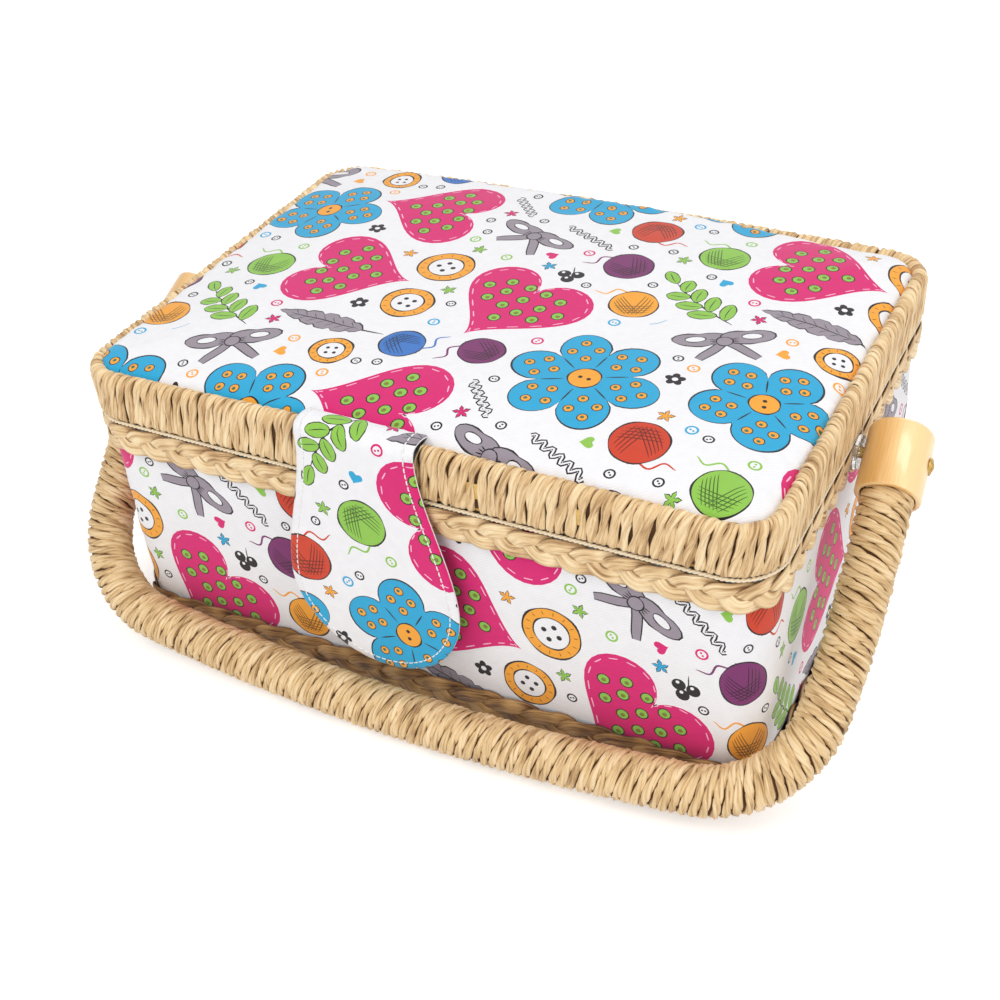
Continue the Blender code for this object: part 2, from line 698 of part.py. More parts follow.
def make_snap(rides):
    """A sewn press stud: the stud on the body's front and its socket on the tab's back."""
    outward = Vector((0, -1, 0))
    top = STUD_HEIGHT + STUD_RADIUS
    face = HALF_DEPTH - wall_line(COVER_INSET, top)
    base = face + GAP
    flap_back = -TAB_PLANE - TAB_THICKNESS / 2
    socket_end = flap_back - GAP
    socket_start = socket_end - SOCKET_THICKNESS
    tip = (socket_start + socket_end) / 2
    place = Vector((TAB_CENTRE, 0, STUD_HEIGHT))
    stud = (
        (base, STUD_RADIUS),
        (base + STUD_BASE, STUD_RADIUS),
        (base + STUD_BASE, STUD_KNOB_RADIUS),
        (tip, STUD_KNOB_RADIUS),
    )
    turned("snap_stud", stud, STEEL, place, outward, SMALL_TURN_STEPS)
    ends = (socket_start, socket_end)
    washer("snap_socket", *ends, SOCKET_BORE_RADIUS, STUD_RADIUS, STEEL, place, outward, rides=rides)


def make_handle(rides, bolt_bore, seat_cutter):
    """The bent rod, its raffia winding and the two turned sleeves."""
    stations = rod_stations()
    ends = [-ROD_TAIL, *stations, HANDLE_LENGTH + ROD_TAIL]
    rod = loft("handle_core", [tube_loop(place, ROD_RADIUS) for place in ends], WOOD, rides=rides)
    cut(rod, bolt_bore)
    run = HANDLE_LENGTH - 2 * WRAP_SEAT
    outer = [tube_loop(stations[0], WRAP_RADIUS)]
    rib_run = run - 2 * (SLEEVE_REACH - WRAP_SEAT)
    for k in range(2 * HANDLE_RIBS + 1):
        radius = WRAP_RADIUS - (WRAP_RIB_DEPTH if k % 2 else 0)
        outer.append(tube_loop(SLEEVE_REACH + rib_run * k / (2 * HANDLE_RIBS), radius))
    outer.append(tube_loop(stations[-1], WRAP_RADIUS))
    bore = [tube_loop(place, ROD_BORE) for place in reversed(stations)]
    loft("handle_wrap", outer + bore, HANDLE_STRAW, closed=True, rides=rides)
    for side, name in ((1, "sleeve_right"), (-1, "sleeve_left")):
        centre, tangent, _, _ = handle_frame(0)
        place = Vector((side * centre.x, centre.y, centre.z))
        axis = Vector((side * tangent.x, tangent.y, tangent.z))
        sleeve = turned(name, sleeve_profile(), WOOD, place, axis, rides=rides)
        cut(sleeve, bolt_bore)
        cut(sleeve, seat_cutter)


def sleeve_profile():
    """Domed closed top, round wall, eased mouth, bore for the winding and a narrower one for the rod."""
    profile = []
    for k in range(DOME_STEPS + 1):
        angle = math.pi / 2 * (k + 1) / (DOME_STEPS + 1)
        rim = SLEEVE_RADIUS - SLEEVE_DOME * (1 - math.sin(angle))
        profile.append((-SLEEVE_TOP + SLEEVE_DOME * (1 - math.cos(angle)) / 2, rim))
    profile.append((SLEEVE_REACH - SLEEVE_LIP, SLEEVE_RADIUS))
    profile.append((SLEEVE_REACH, SLEEVE_RADIUS - SLEEVE_LIP))
    profile.append((SLEEVE_REACH, WRAP_BORE))
    profile.append((WRAP_SEAT - GAP, WRAP_BORE))
    profile.append((WRAP_SEAT - GAP, ROD_BORE))
    profile.append((-SLEEVE_TOP + SLEEVE_END_WALL, ROD_BORE))
    return profile


def bolt_profile():
    """Domed head with a flange, then the shank, measured outwards from the middle of the box."""
    head = SEAT_OUT + GAP
    flange = head + BOLT_HEAD_FLANGE
    profile = [(nut_start() - BOLT_TAIL, BOLT_RADIUS), (head, BOLT_RADIUS), (head, BOLT_HEAD_RADIUS)]
    profile.append((flange, BOLT_HEAD_RADIUS))
    for k in range(DOME_STEPS + 1):
        angle = math.pi / 2 * k / (DOME_STEPS + 1)
        radius = (BOLT_HEAD_RADIUS - GAP) * math.cos(angle)
        profile.append((flange + BOLT_HEAD_DOME * math.sin(angle) + GAP, radius))
    return profile


def washer_end():
    lining = HALF_WIDTH - wall_line(INNER_INSET, PIVOT_HEIGHT - WASHER_RADIUS)
    return lining - GAP


def nut_start():
    return washer_end() - WASHER_THICKNESS - GAP - NUT_THICKNESS


def make_pivots():
    """The bolt through each sleeve and wall, its clear spacer, and the washer and nut inside."""
    for side, hand in ((1, "right"), (-1, "left")):
        outward = Vector((side, 0, 0))
        end = washer_end()
        start = end - WASHER_THICKNESS
        turned("bolt_" + hand, bolt_profile(), BRASS, PIVOT, outward, SMALL_TURN_STEPS)
        spacer = (SPACER_INNER, SPACER_OUTER)
        washer("spacer_" + hand, *spacer, BOLT_HOLE, SPACER_RADIUS, CLEAR_PLASTIC, PIVOT, outward)
        washer("washer_" + hand, start, end, BOLT_HOLE, WASHER_RADIUS, STEEL, PIVOT, outward)
        nut = (nut_start(), start - GAP)
        washer("nut_" + hand, *nut, BOLT_HOLE, NUT_RADIUS, STEEL, PIVOT, outward, steps=NUT_SIDES)


def main():
    clear_scene()
    lid_pivot = make_pivot("lid_pivot", LID_AXIS)
    tab_pivot = make_pivot("tab_pivot", TAB_AXIS, lid_pivot, LID_AXIS)
    handle_pivot = make_pivot("handle_pivot", PIVOT)
    lid_rides = (lid_pivot, LID_AXIS)
    tab_rides = (tab_pivot, TAB_AXIS)
    handle_rides = (handle_pivot, PIVOT)
    reach = SEAT_OUT + SLEEVE_RADIUS
    bolt_bore = cylinder_cutter("bolt_bore", [(-reach, reach, BOLT_HOLE)])
    seat_radius = BOLT_HEAD_RADIUS + GAP
    seats = [(SEAT_OUT, reach, seat_radius), (-reach, -SEAT_OUT, seat_radius)]
    seat_cutter = cylinder_cutter("bolt_seats", seats)
    make_body(bolt_bore)
    make_hinge(lid_rides)
    make_lid(lid_rides)
    make_tab_root(lid_rides)
    make_tab(tab_rides)
    make_snap(tab_rides)
    make_handle(handle_rides, bolt_bore, seat_cutter)
    make_pivots()


main()
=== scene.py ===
"""Looks of a cloth-covered sewing basket with raffia-wound rim and handle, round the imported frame.

All sizes are in metres. An inset is measured inwards from the lid's outer outline.
"""
import math
import random

import bmesh
import bpy
import numpy as np
from mathutils import Matrix, Vector
from mathutils.geometry import delaunay_2d_cdt


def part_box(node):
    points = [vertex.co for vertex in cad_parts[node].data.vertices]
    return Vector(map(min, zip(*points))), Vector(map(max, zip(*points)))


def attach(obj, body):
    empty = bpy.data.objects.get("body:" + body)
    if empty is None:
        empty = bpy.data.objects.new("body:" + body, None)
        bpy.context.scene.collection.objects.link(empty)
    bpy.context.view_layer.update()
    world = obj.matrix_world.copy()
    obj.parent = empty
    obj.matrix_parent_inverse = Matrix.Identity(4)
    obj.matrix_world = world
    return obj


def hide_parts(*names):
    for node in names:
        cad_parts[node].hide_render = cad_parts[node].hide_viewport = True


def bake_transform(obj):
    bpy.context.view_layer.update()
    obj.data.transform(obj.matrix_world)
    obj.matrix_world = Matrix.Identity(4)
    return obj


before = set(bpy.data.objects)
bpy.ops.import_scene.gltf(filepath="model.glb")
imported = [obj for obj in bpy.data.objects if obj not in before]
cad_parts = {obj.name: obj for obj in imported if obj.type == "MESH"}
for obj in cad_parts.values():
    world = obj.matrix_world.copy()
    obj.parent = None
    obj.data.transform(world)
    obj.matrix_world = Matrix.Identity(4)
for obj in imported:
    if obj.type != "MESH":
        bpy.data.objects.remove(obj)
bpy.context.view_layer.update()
MM = 0.001

# Sizes that follow the frame
RIM_LOW, RIM_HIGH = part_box("lid_rim_wrap")
BRAID_LOW, BRAID_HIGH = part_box("top_braid")
BASE_LOW, BASE_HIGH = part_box("base_braid")
HALF_W = BRAID_HIGH[0]
HALF_D = BRAID_HIGH[1]
GAP = 0.3 * MM
SEAM = RIM_LOW[2] - GAP / 2
CORNER_RADIUS = 17.5 * MM
WALL_TAPER = 1.0 * MM
RIM_WIDTH = 6.4 * MM
RIM_BOW = 2.0 * MM
CREST = SEAM + 18.3 * MM
PAD_EDGE = CREST - 1.4 * MM
PAD_CROWN = 4.8 * MM
PAD_SHOULDER = 40 * MM
PAD_INSET = 5.3 * MM
PAD_SKIRT = 5.0 * MM
COVER_INSET = 2.3 * MM
LINING_INSET = 6.2 * MM
CLOTH = 0.8 * MM
PIVOT = Vector((0, -7.65 * MM, SEAM - 5.0 * MM))
PIVOT_OUT = 143.568 * MM
SEAT_OUT = 153.968 * MM
HANDLE_SPLAY = 0.073
SLEEVE_PITCH = 0.472126
SLEEVE_REACH = 14.5 * MM
ARM_LENGTH = 71.7656 * MM
ARM_TURN = 0.155
HANDLE_CORNER = 40.3 * MM
BAR_BOW = 1.0
ARM_BEND = 0.281
ARM_BEND_LENGTH = 26 * MM
HALF_LENGTH = 250.608 * MM
WRAP_RADIUS = 8.6 * MM
FLOOR_GLOW = 0.42
END_GRAIN = (12, 14.5)
GLIMPSES = (31 * MM, 68 * MM, 402 * MM)
TAB_CENTRE = -10 * MM
TAB_AXIS_Z = CREST - 1.8 * MM
TAB_PLANE = -(HALF_D + 2.8 * MM)


def srgb(red, green, blue):
    """A colour given as 0 to 255 screen values, as linear light."""
    values = []
    for value in (red, green, blue):
        share = value / 255
        values.append(share / 12.92 if share <= 0.04045 else ((share + 0.055) / 1.055) ** 2.4)
    return tuple(values)


STRAW_LIGHT = srgb(246, 222, 178)
STRAW_MID = srgb(222, 187, 136)
STRAW_DARK = srgb(158, 116, 68)
# Painted shade for the gaps between strands.
PAINTED_SLIT_SHADE = srgb(92, 60, 30)

# Shares of a strand's half width and half thickness that its plies take
PLY_SPREAD_SHARE = 0.50
PLY_RISE_SHARE = 0.42
PLY_WIDTH_SHARE = 0.58
PLY_THICK_SHARE = 0.78

INK = srgb(34, 28, 32)
MAGENTA = srgb(216, 28, 112)
TURQUOISE = srgb(38, 166, 212)
ORANGE = srgb(244, 166, 54)
LIME = srgb(142, 196, 78)
GREY = srgb(152, 142, 152)
RED = srgb(206, 64, 36)
PURPLE = srgb(122, 46, 104)
WHITE_CLOTH = srgb(240, 239, 241)


class Nodes:
    """A material's node tree with short calls for adding and joining nodes."""

    def __init__(self, name, roughness=0.6, metallic=0.0):
        self.material = bpy.data.materials.new(name)
        self.material.use_nodes = True
        self.tree = self.material.node_tree
        self.shader = self.tree.nodes["Principled BSDF"]
        self.shader.inputs["Roughness"].default_value = roughness
        self.shader.inputs["Metallic"].default_value = metallic

    def add(self, kind, **values):
        node = self.tree.nodes.new("ShaderNode" + kind)
        for key, value in values.items():
            setattr(node, key, value)
        return node

    def link(self, output, target):
        self.tree.links.new(output, target)
        return self

    def attribute(self, name):
        return self.add("Attribute", attribute_name=name)

    def noise(self, vector, scale, detail=3.0, rough=0.55, stretch=None):
        """Noise on a vector output, which may be stretched per axis first."""
        if stretch:
            mapping = self.add("Mapping")
            mapping.inputs["Scale"].default_value = stretch
            self.link(vector, mapping.inputs["Vector"])
            vector = mapping.outputs["Vector"]
        node = self.add("TexNoise")
        node.inputs["Scale"].default_value = scale
        node.inputs["Detail"].default_value = detail
        node.inputs["Roughness"].default_value = rough
        self.link(vector, node.inputs["Vector"])
        return node.outputs["Fac"]

    def ramp(self, factor, stops):
        node = self.add("ValToRGB")
        elements = node.color_ramp.elements
        while len(elements) < len(stops):
            elements.new(0.5)
        for element, (place, colour) in zip(elements, stops):
            element.position = place
            element.color = (*colour, 1)
        self.link(factor, node.inputs["Fac"])
        return node.outputs["Color"]

    def mix(self, first, second, factor, blend="MIX"):
        """Mix of two colours; each argument is an output, a colour or a number."""
        node = self.add("Mix", data_type="RGBA", blend_type=blend)
        for value, name in ((factor, "Factor"), (first, "A"), (second, "B")):
            socket = [s for s in node.inputs if s.name == name and s.type == ("VALUE" if name == "Factor" else "RGBA")][0]
            if hasattr(value, "is_output"):
                self.link(value, socket)
            elif name == "Factor":
                socket.default_value = value
            else:
                socket.default_value = (*value, 1)
        return [s for s in node.outputs if s.type == "RGBA"][0]

    def math(self, operation, first, second=0.0, third=0.0):
        node = self.add("Math", operation=operation)
        for socket, value in zip(node.inputs, (first, second, third)):
            if hasattr(value, "is_output"):
                self.link(value, socket)
            else:
                socket.default_value = value
        return node.outputs["Value"]

    def bump(self, height, distance, strength=1.0, normal=None):
        node = self.add("Bump")
        node.inputs["Distance"].default_value = distance
        node.inputs["Strength"].default_value = strength
        self.link(height, node.inputs["Height"])
        if normal:
            self.link(normal, node.inputs["Normal"])
        self.link(node.outputs["Normal"], self.shader.inputs["Normal"])
        return node.outputs["Normal"]

    def colour(self, output):
        self.link(output, self.shader.inputs["Base Color"])
        return self


def straw_material(name, light, mid, dark, tone_share=0.26):
    """Raffia or straw: fine streaks along each strand, a tone for each strand, and painted shade that darkens it in the
    hollows at the strands' edges and crossings.
    """
    nodes = Nodes(name, 0.52)
    uv = nodes.add("UVMap", uv_map="strand").outputs["UV"]
    fine = nodes.noise(uv, 1.0, 5.0, 0.65, (75, 1500, 1))
    broad = nodes.noise(uv, 1.0, 3.0, 0.5, (60, 560, 1))
    tone = nodes.attribute("tone").outputs["Fac"]
    mixed = nodes.math("MULTIPLY_ADD", fine, 0.75, nodes.math("MULTIPLY", broad, 0.45))
    mixed = nodes.math("MULTIPLY_ADD", tone, tone_share, nodes.math("ADD", mixed, 0.13 - tone_share / 2))
    colour = nodes.ramp(mixed, ((0.57, dark), (0.71, mid), (0.86, light)))
    # Painted shade: the depth attribute darkens each strand towards its edges and underside, down to a deep brown.
    depth = nodes.attribute("depth").outputs["Fac"]
    painted_hollow_shade = nodes.ramp(depth, ((0.0, (0.20, 0.13, 0.07)), (0.38, (0.72, 0.62, 0.52)), (0.75, (1, 1, 1))))
    nodes.colour(nodes.mix(colour, painted_hollow_shade, 1.0, "MULTIPLY"))
    nodes.bump(nodes.math("ADD", fine, nodes.math("MULTIPLY", broad, 0.8)), 0.30 * MM, 1.0)
    nodes.shader.inputs["Specular IOR Level"].default_value = 0.5
    nodes.shader.inputs["Sheen Weight"].default_value = 0.1
    return nodes.material


def twill(nodes, uv_name, depth=0.05):
    """Diagonal ribs of a cotton twill, as height, from a flat map of the cloth in metres."""
    uv = nodes.add("UVMap", uv_map=uv_name).outputs["UV"]
    mapping = nodes.add("Mapping")
    mapping.inputs["Rotation"].default_value = (0, 0, math.radians(58))
    nodes.link(uv, mapping.inputs["Vector"])
    wave = nodes.add("TexWave", wave_type="BANDS", bands_direction="X")
    wave.inputs["Scale"].default_value = 330
    wave.inputs["Distortion"].default_value = 1.6
    wave.inputs["Detail"].default_value = 2
    wave.inputs["Detail Scale"].default_value = 2.0
    nodes.link(mapping.outputs["Vector"], wave.inputs["Vector"])
    slub = nodes.noise(uv, 1.0, 3.0, 0.6, (900, 2400, 1))
    return uv, wave.outputs["Fac"], nodes.math("MULTIPLY_ADD", wave.outputs["Fac"], 0.7, slub)


def print_material():
    """White cotton twill with the inks that the cloth's faces carry."""
    nodes = Nodes("printed_twill", 0.82)
    uv, wave, height = twill(nodes, "cloth")
    ink = nodes.add("VertexColor", layer_name="ink").outputs["Color"]
    patch = nodes.noise(uv, 1.0, 3.0, 0.6, (260, 260, 1))
    fade = nodes.ramp(patch, ((0.3, (0.955, 0.955, 0.96)), (0.7, (1, 1, 1))))
    weave = nodes.ramp(wave, ((0.0, (0.95, 0.95, 0.955)), (0.7, (1, 1, 1))))
    nodes.colour(nodes.mix(nodes.mix(ink, fade, 1.0, "MULTIPLY"), weave, 1.0, "MULTIPLY"))
    soft = nodes.noise(uv, 1.0, 2.0, 0.5, (60, 60, 1))
    nodes.bump(nodes.math("MULTIPLY_ADD", soft, 0.8, height), 0.03 * MM, 0.8)
    nodes.shader.inputs["Sheen Weight"].default_value = 0.25
    nodes.shader.inputs["Sheen Roughness"].default_value = 0.5
    nodes.shader.inputs["Specular IOR Level"].default_value = 0.25
    return nodes.material


def plain_cloth_material(name, colour, roughness=0.85):
    nodes = Nodes(name, roughness)
    place = nodes.add("TexCoord").outputs["Object"]
    weave = nodes.noise(place, 2600, 2.0, 0.5)
    cloud = nodes.noise(place, 60, 3.0, 0.55)
    darker = tuple(0.82 * value for value in colour)
    nodes.colour(nodes.ramp(nodes.math("MULTIPLY_ADD", weave, 0.5, nodes.math("MULTIPLY", cloud, 0.5)),
                            ((0.3, darker), (0.65, colour))))
    nodes.bump(weave, 0.05 * MM, 0.7)
    nodes.shader.inputs["Sheen Weight"].default_value = 0.2
    return nodes.material


def board_material(name, colour):
    nodes = Nodes(name, 0.9)
    place = nodes.add("TexCoord").outputs["Object"]
    fibre = nodes.noise(place, 1.0, 4.0, 0.65, (900, 900, 2400))
    darker = tuple(0.7 * value for value in colour)
    nodes.colour(nodes.ramp(fibre, ((0.3, darker), (0.7, colour))))
    nodes.bump(fibre, 0.04 * MM, 0.5)
    return nodes.material


def metal_material(name, colour, roughness):
    nodes = Nodes(name, roughness, 1.0)
    place = nodes.add("TexCoord").outputs["Object"]
    wear = nodes.noise(place, 700, 4.0, 0.6)
    darker = tuple(0.45 * value for value in colour)
    nodes.colour(nodes.ramp(wear, ((0.32, darker), (0.6, colour))))
    nodes.link(nodes.math("MULTIPLY_ADD", wear, 0.3, roughness - 0.1), nodes.shader.inputs["Roughness"])
    nodes.bump(wear, 0.02 * MM, 0.4)
    return nodes.material


def sleeve_material():
    """Pale varnished wood whose long bands along the sleeve are partly wood tone and partly painted reflection of the
    lamps.
    """
    nodes = Nodes("sleeve_wood", 0.28)
    uv = nodes.add("UVMap", uv_map="strand").outputs["UV"]
    # Lengthwise bands: wood tone and painted reflection bands; the palest stop is a painted highlight.
    band = nodes.noise(uv, 1.0, 1.0, 0.4, (6, 3.2, 1))
    grain = nodes.noise(uv, 1.0, 4.0, 0.6, (70, 150, 1))
    mixed = nodes.math("MULTIPLY_ADD", grain, 0.22, nodes.math("MULTIPLY", band, 0.85))
    stops = ((0.38, srgb(208, 148, 76)), (0.49, srgb(232, 184, 114)), (0.60, srgb(246, 212, 152)))
    nodes.colour(nodes.ramp(mixed, stops))
    nodes.bump(grain, 0.02 * MM, 0.3)
    nodes.shader.inputs["Coat Weight"].default_value = 0.5
    nodes.shader.inputs["Coat Roughness"].default_value = 0.07
    return nodes.material


def clear_material():
    nodes = Nodes("clear_plastic", 0.12)
    place = nodes.add("TexCoord").outputs["Object"]
    ripple = nodes.noise(place, 420, 2.0, 0.5)
    tint = nodes.ramp(ripple, ((0.3, (0.93, 0.94, 0.94)), (0.7, (1, 1, 1))))
    nodes.colour(tint)
    nodes.bump(ripple, 0.1 * MM, 0.4)
    nodes.shader.inputs["Transmission Weight"].default_value = 0.85
    nodes.shader.inputs["IOR"].default_value = 1.45
    return nodes.material


def make_mesh(name, points, faces, material, body, layers=None, uv=None, smooth=True):
    """An object from arrays; layers are point attributes, and uv is (map name, one place for each corner)."""
    data = bpy.data.meshes.new(name)
    data.from_pydata([tuple(point) for point in points], [], [tuple(face) for face in faces])
    for layer, values in (layers or {}).items():
        attribute = data.attributes.new(layer, "FLOAT", "POINT")
        attribute.data.foreach_set("value", np.asarray(values, dtype=np.float32).ravel())
    if uv is not None:
        layer = data.uv_layers.new(name=uv[0])
        layer.data.foreach_set("uv", np.asarray(uv[1], dtype=np.float32).ravel())
    if smooth:
        data.shade_smooth()
    data.materials.append(material)
    obj = bpy.data.objects.new(name, data)
    bpy.context.collection.objects.link(obj)
    if body:
        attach(obj, body)
    return obj


def outline_at(distance, half_x=None, half_y=None, radius=None):
    """Points, outward normals and tangents on a rounded rectangle, anticlockwise from the middle of its front."""
    half_x = HALF_W if half_x is None else half_x
    half_y = HALF_D if half_y is None else half_y
    radius = CORNER_RADIUS if radius is None else radius
    run_x = 2 * (half_x - radius)
    run_y = 2 * (half_y - radius)
    arc = radius * math.pi / 2
    lengths = (run_x / 2, arc, run_y, arc, run_x, arc, run_y, arc, run_x / 2)
    total = sum(lengths)
    s = np.mod(np.asarray(distance, dtype=float), total)
    angle = np.full(s.shape, -math.pi / 2)
    x = np.zeros(s.shape)
    y = np.full(s.shape, -half_y)
    start = 0.0
    heading = -math.pi / 2
    place = np.array([0.0, -half_y])
    for index, length in enumerate(lengths):
        inside = (s >= start) & (s <= start + length)
        along = np.clip(s - start, 0, length)
        if index % 2 == 0:
            direction = np.array([-math.sin(heading), math.cos(heading)])
            x = np.where(inside, place[0] + along * direction[0], x)
            y = np.where(inside, place[1] + along * direction[1], y)
            angle = np.where(inside, heading, angle)
            place = place + length * direction
        else:
            centre = place - radius * np.array([math.cos(heading), math.sin(heading)])
            turned = heading + along / radius
            x = np.where(inside, centre[0] + radius * np.cos(turned), x)
            y = np.where(inside, centre[1] + radius * np.sin(turned), y)
            angle = np.where(inside, turned, angle)
            heading += math.pi / 2
            place = centre + radius * np.array([math.cos(heading), math.sin(heading)])
        start += length
    normal = np.stack([np.cos(angle), np.sin(angle)], -1)
    tangent = np.stack([-np.sin(angle), np.cos(angle)], -1)
    return np.stack([x, y], -1), normal, tangent


PERIMETER = 4 * (HALF_W + HALF_D - 2 * CORNER_RADIUS) + 2 * math.pi * CORNER_RADIUS


def lift(x):
    """How far the rim bows up between its corners."""
    return RIM_BOW * (1 - (x / HALF_W) ** 2)


def wall_line(inset, height):
    return inset + WALL_TAPER * (1 - height / SEAM)


def unit(vectors):
    return vectors / np.maximum(np.linalg.norm(vectors, axis=-1, keepdims=True), 1e-12)


def sweep(centres, outward, half_width, half_thick, flutes=4, flute=0.07, twist=0.0, sides=12, phase=0.0):
    """Points of flattened strands: (strands, steps, sides, 3), with depth (a painted-shade share, low at the strand's
    edges and underside) and place round the strand.

    The strand lies flat against a surface whose outward direction is given; its section has shallow
    flutes that may turn along it.
    """
    along = unit(np.gradient(centres, axis=-2))
    across = unit(np.cross(outward, along))
    out = np.cross(along, across)
    length = np.concatenate([np.zeros(centres.shape[:-2] + (1,)),
                             np.cumsum(np.linalg.norm(np.diff(centres, axis=-2), axis=-1), axis=-1)], -1)
    angle = np.arange(sides) * 2 * math.pi / sides
    phase = np.asarray(phase, dtype=float)
    wave = np.cos(flutes * angle + twist * length[..., None] + phase[..., None, None])
    swell = 1 + flute * wave
    side = np.asarray(half_width)[..., None] * np.cos(angle) * swell
    rise = np.asarray(half_thick)[..., None] * np.sin(angle) * swell
    points = centres[..., None, :] + side[..., None] * across[..., None, :] + rise[..., None] * out[..., None, :]
    # Painted shade: depth falls towards the strand's edges and underside, where its neighbours would shade it.
    depth = np.clip((np.sin(angle) + 0.4) / 1.15, 0, 1) * np.ones(side.shape) + 0.12 * wave
    return points, np.clip(depth, 0, 1), length, angle / (2 * math.pi)


def strands(name, swept, tone, half_width, material, body, closed=False):
    """One object from swept strands, each with end caps or closed on itself."""
    points, depth, length, turn = swept
    count, steps, sides = points.shape[:3]
    index = np.arange(count * steps * sides).reshape(count, steps, sides)
    ahead = np.roll(index, -1, axis=1) if closed else index[:, 1:]
    here = index if closed else index[:, :-1]
    quads = np.stack([here, np.roll(here, -1, 2), np.roll(ahead, -1, 2), ahead], -1)
    faces = quads.reshape(-1, 4).tolist()
    rows = here.shape[1]
    u0 = length[:, :rows, None] * np.ones(sides)
    step = np.diff(length, axis=1, append=length[:, -1:] + (length[:, -1:] - length[:, -2:-1]))
    u1 = u0 + step[:, :rows, None]
    width = np.mean(half_width) * 4
    v0 = turn * width + np.arange(count)[:, None, None] * 0.0137
    v0 = v0 * np.ones((count, rows, sides))
    v1 = v0 + width / sides
    uv = np.stack([np.stack([u0, v0], -1), np.stack([u0, v1], -1), np.stack([u1, v1], -1), np.stack([u1, v0], -1)], -2)
    uv = uv.reshape(-1, 2)
    if not closed:
        caps = []
        for strand in range(count):
            faces.append(index[strand, 0, ::-1].tolist())
            faces.append(index[strand, -1].tolist())
            caps.append(np.zeros((2 * sides, 2)))
        uv = np.concatenate([uv] + caps)
    tones = np.broadcast_to(np.asarray(tone).reshape(count, -1, 1), (count, steps, sides))
    # The depth layer carries painted shade for the straw materials.
    layers = {"tone": tones, "depth": depth}
    return make_mesh(name, points.reshape(-1, 3), faces, material, body, layers, ("strand", uv))


def smooth_path(points, steps):
    """A Catmull-Rom curve through the points, in steps of even length."""
    knots = np.asarray(points, dtype=float)
    padded = np.concatenate([2 * knots[:1] - knots[1:2], knots, 2 * knots[-1:] - knots[-2:-1]])
    t = np.linspace(0, 1, 24, endpoint=False)[:, None]
    rows = []
    for k in range(len(knots) - 1):
        p0, p1, p2, p3 = padded[k:k + 4]
        rows.append(0.5 * (2 * p1 + (p2 - p0) * t + (2 * p0 - 5 * p1 + 4 * p2 - p3) * t ** 2
                           + (3 * p1 - p0 - 3 * p2 + p3) * t ** 3))
    dense = np.concatenate(rows + [knots[-1:]])
    length = np.concatenate([[0], np.cumsum(np.linalg.norm(np.diff(dense, axis=0), axis=1))])
    even = np.linspace(0, length[-1], steps)
    return np.stack([np.interp(even, length, dense[:, axis]) for axis in range(dense.shape[1])], -1)


def bundled(centres, outward, half_width, half_thick, turn, closed=False):
    """Each strand as plies that turn slowly round one another; turn is (plies, strands, steps) angles."""
    if closed:
        along = unit(np.roll(centres, -1, axis=-2) - np.roll(centres, 1, axis=-2))
    else:
        along = unit(np.gradient(centres, axis=-2))
    across = unit(np.cross(outward, along))
    out = np.cross(along, across)
    half_width = half_width * np.ones(centres.shape[:2])
    half_thick = half_thick * np.ones(centres.shape[:2])
    side = PLY_SPREAD_SHARE * half_width * np.cos(turn)
    rise = PLY_RISE_SHARE * half_thick * np.sin(turn)
    plies = centres + side[..., None] * across + rise[..., None] * out
    shape = (-1,) + centres.shape[1:]
    outward = np.broadcast_to(outward, plies.shape).reshape(shape)
    width = np.broadcast_to(PLY_WIDTH_SHARE * half_width, turn.shape).reshape(-1, centres.shape[1])
    thick = np.broadcast_to(PLY_THICK_SHARE * half_thick, turn.shape).reshape(-1, centres.shape[1])
    return plies.reshape(shape), outward, width, thick


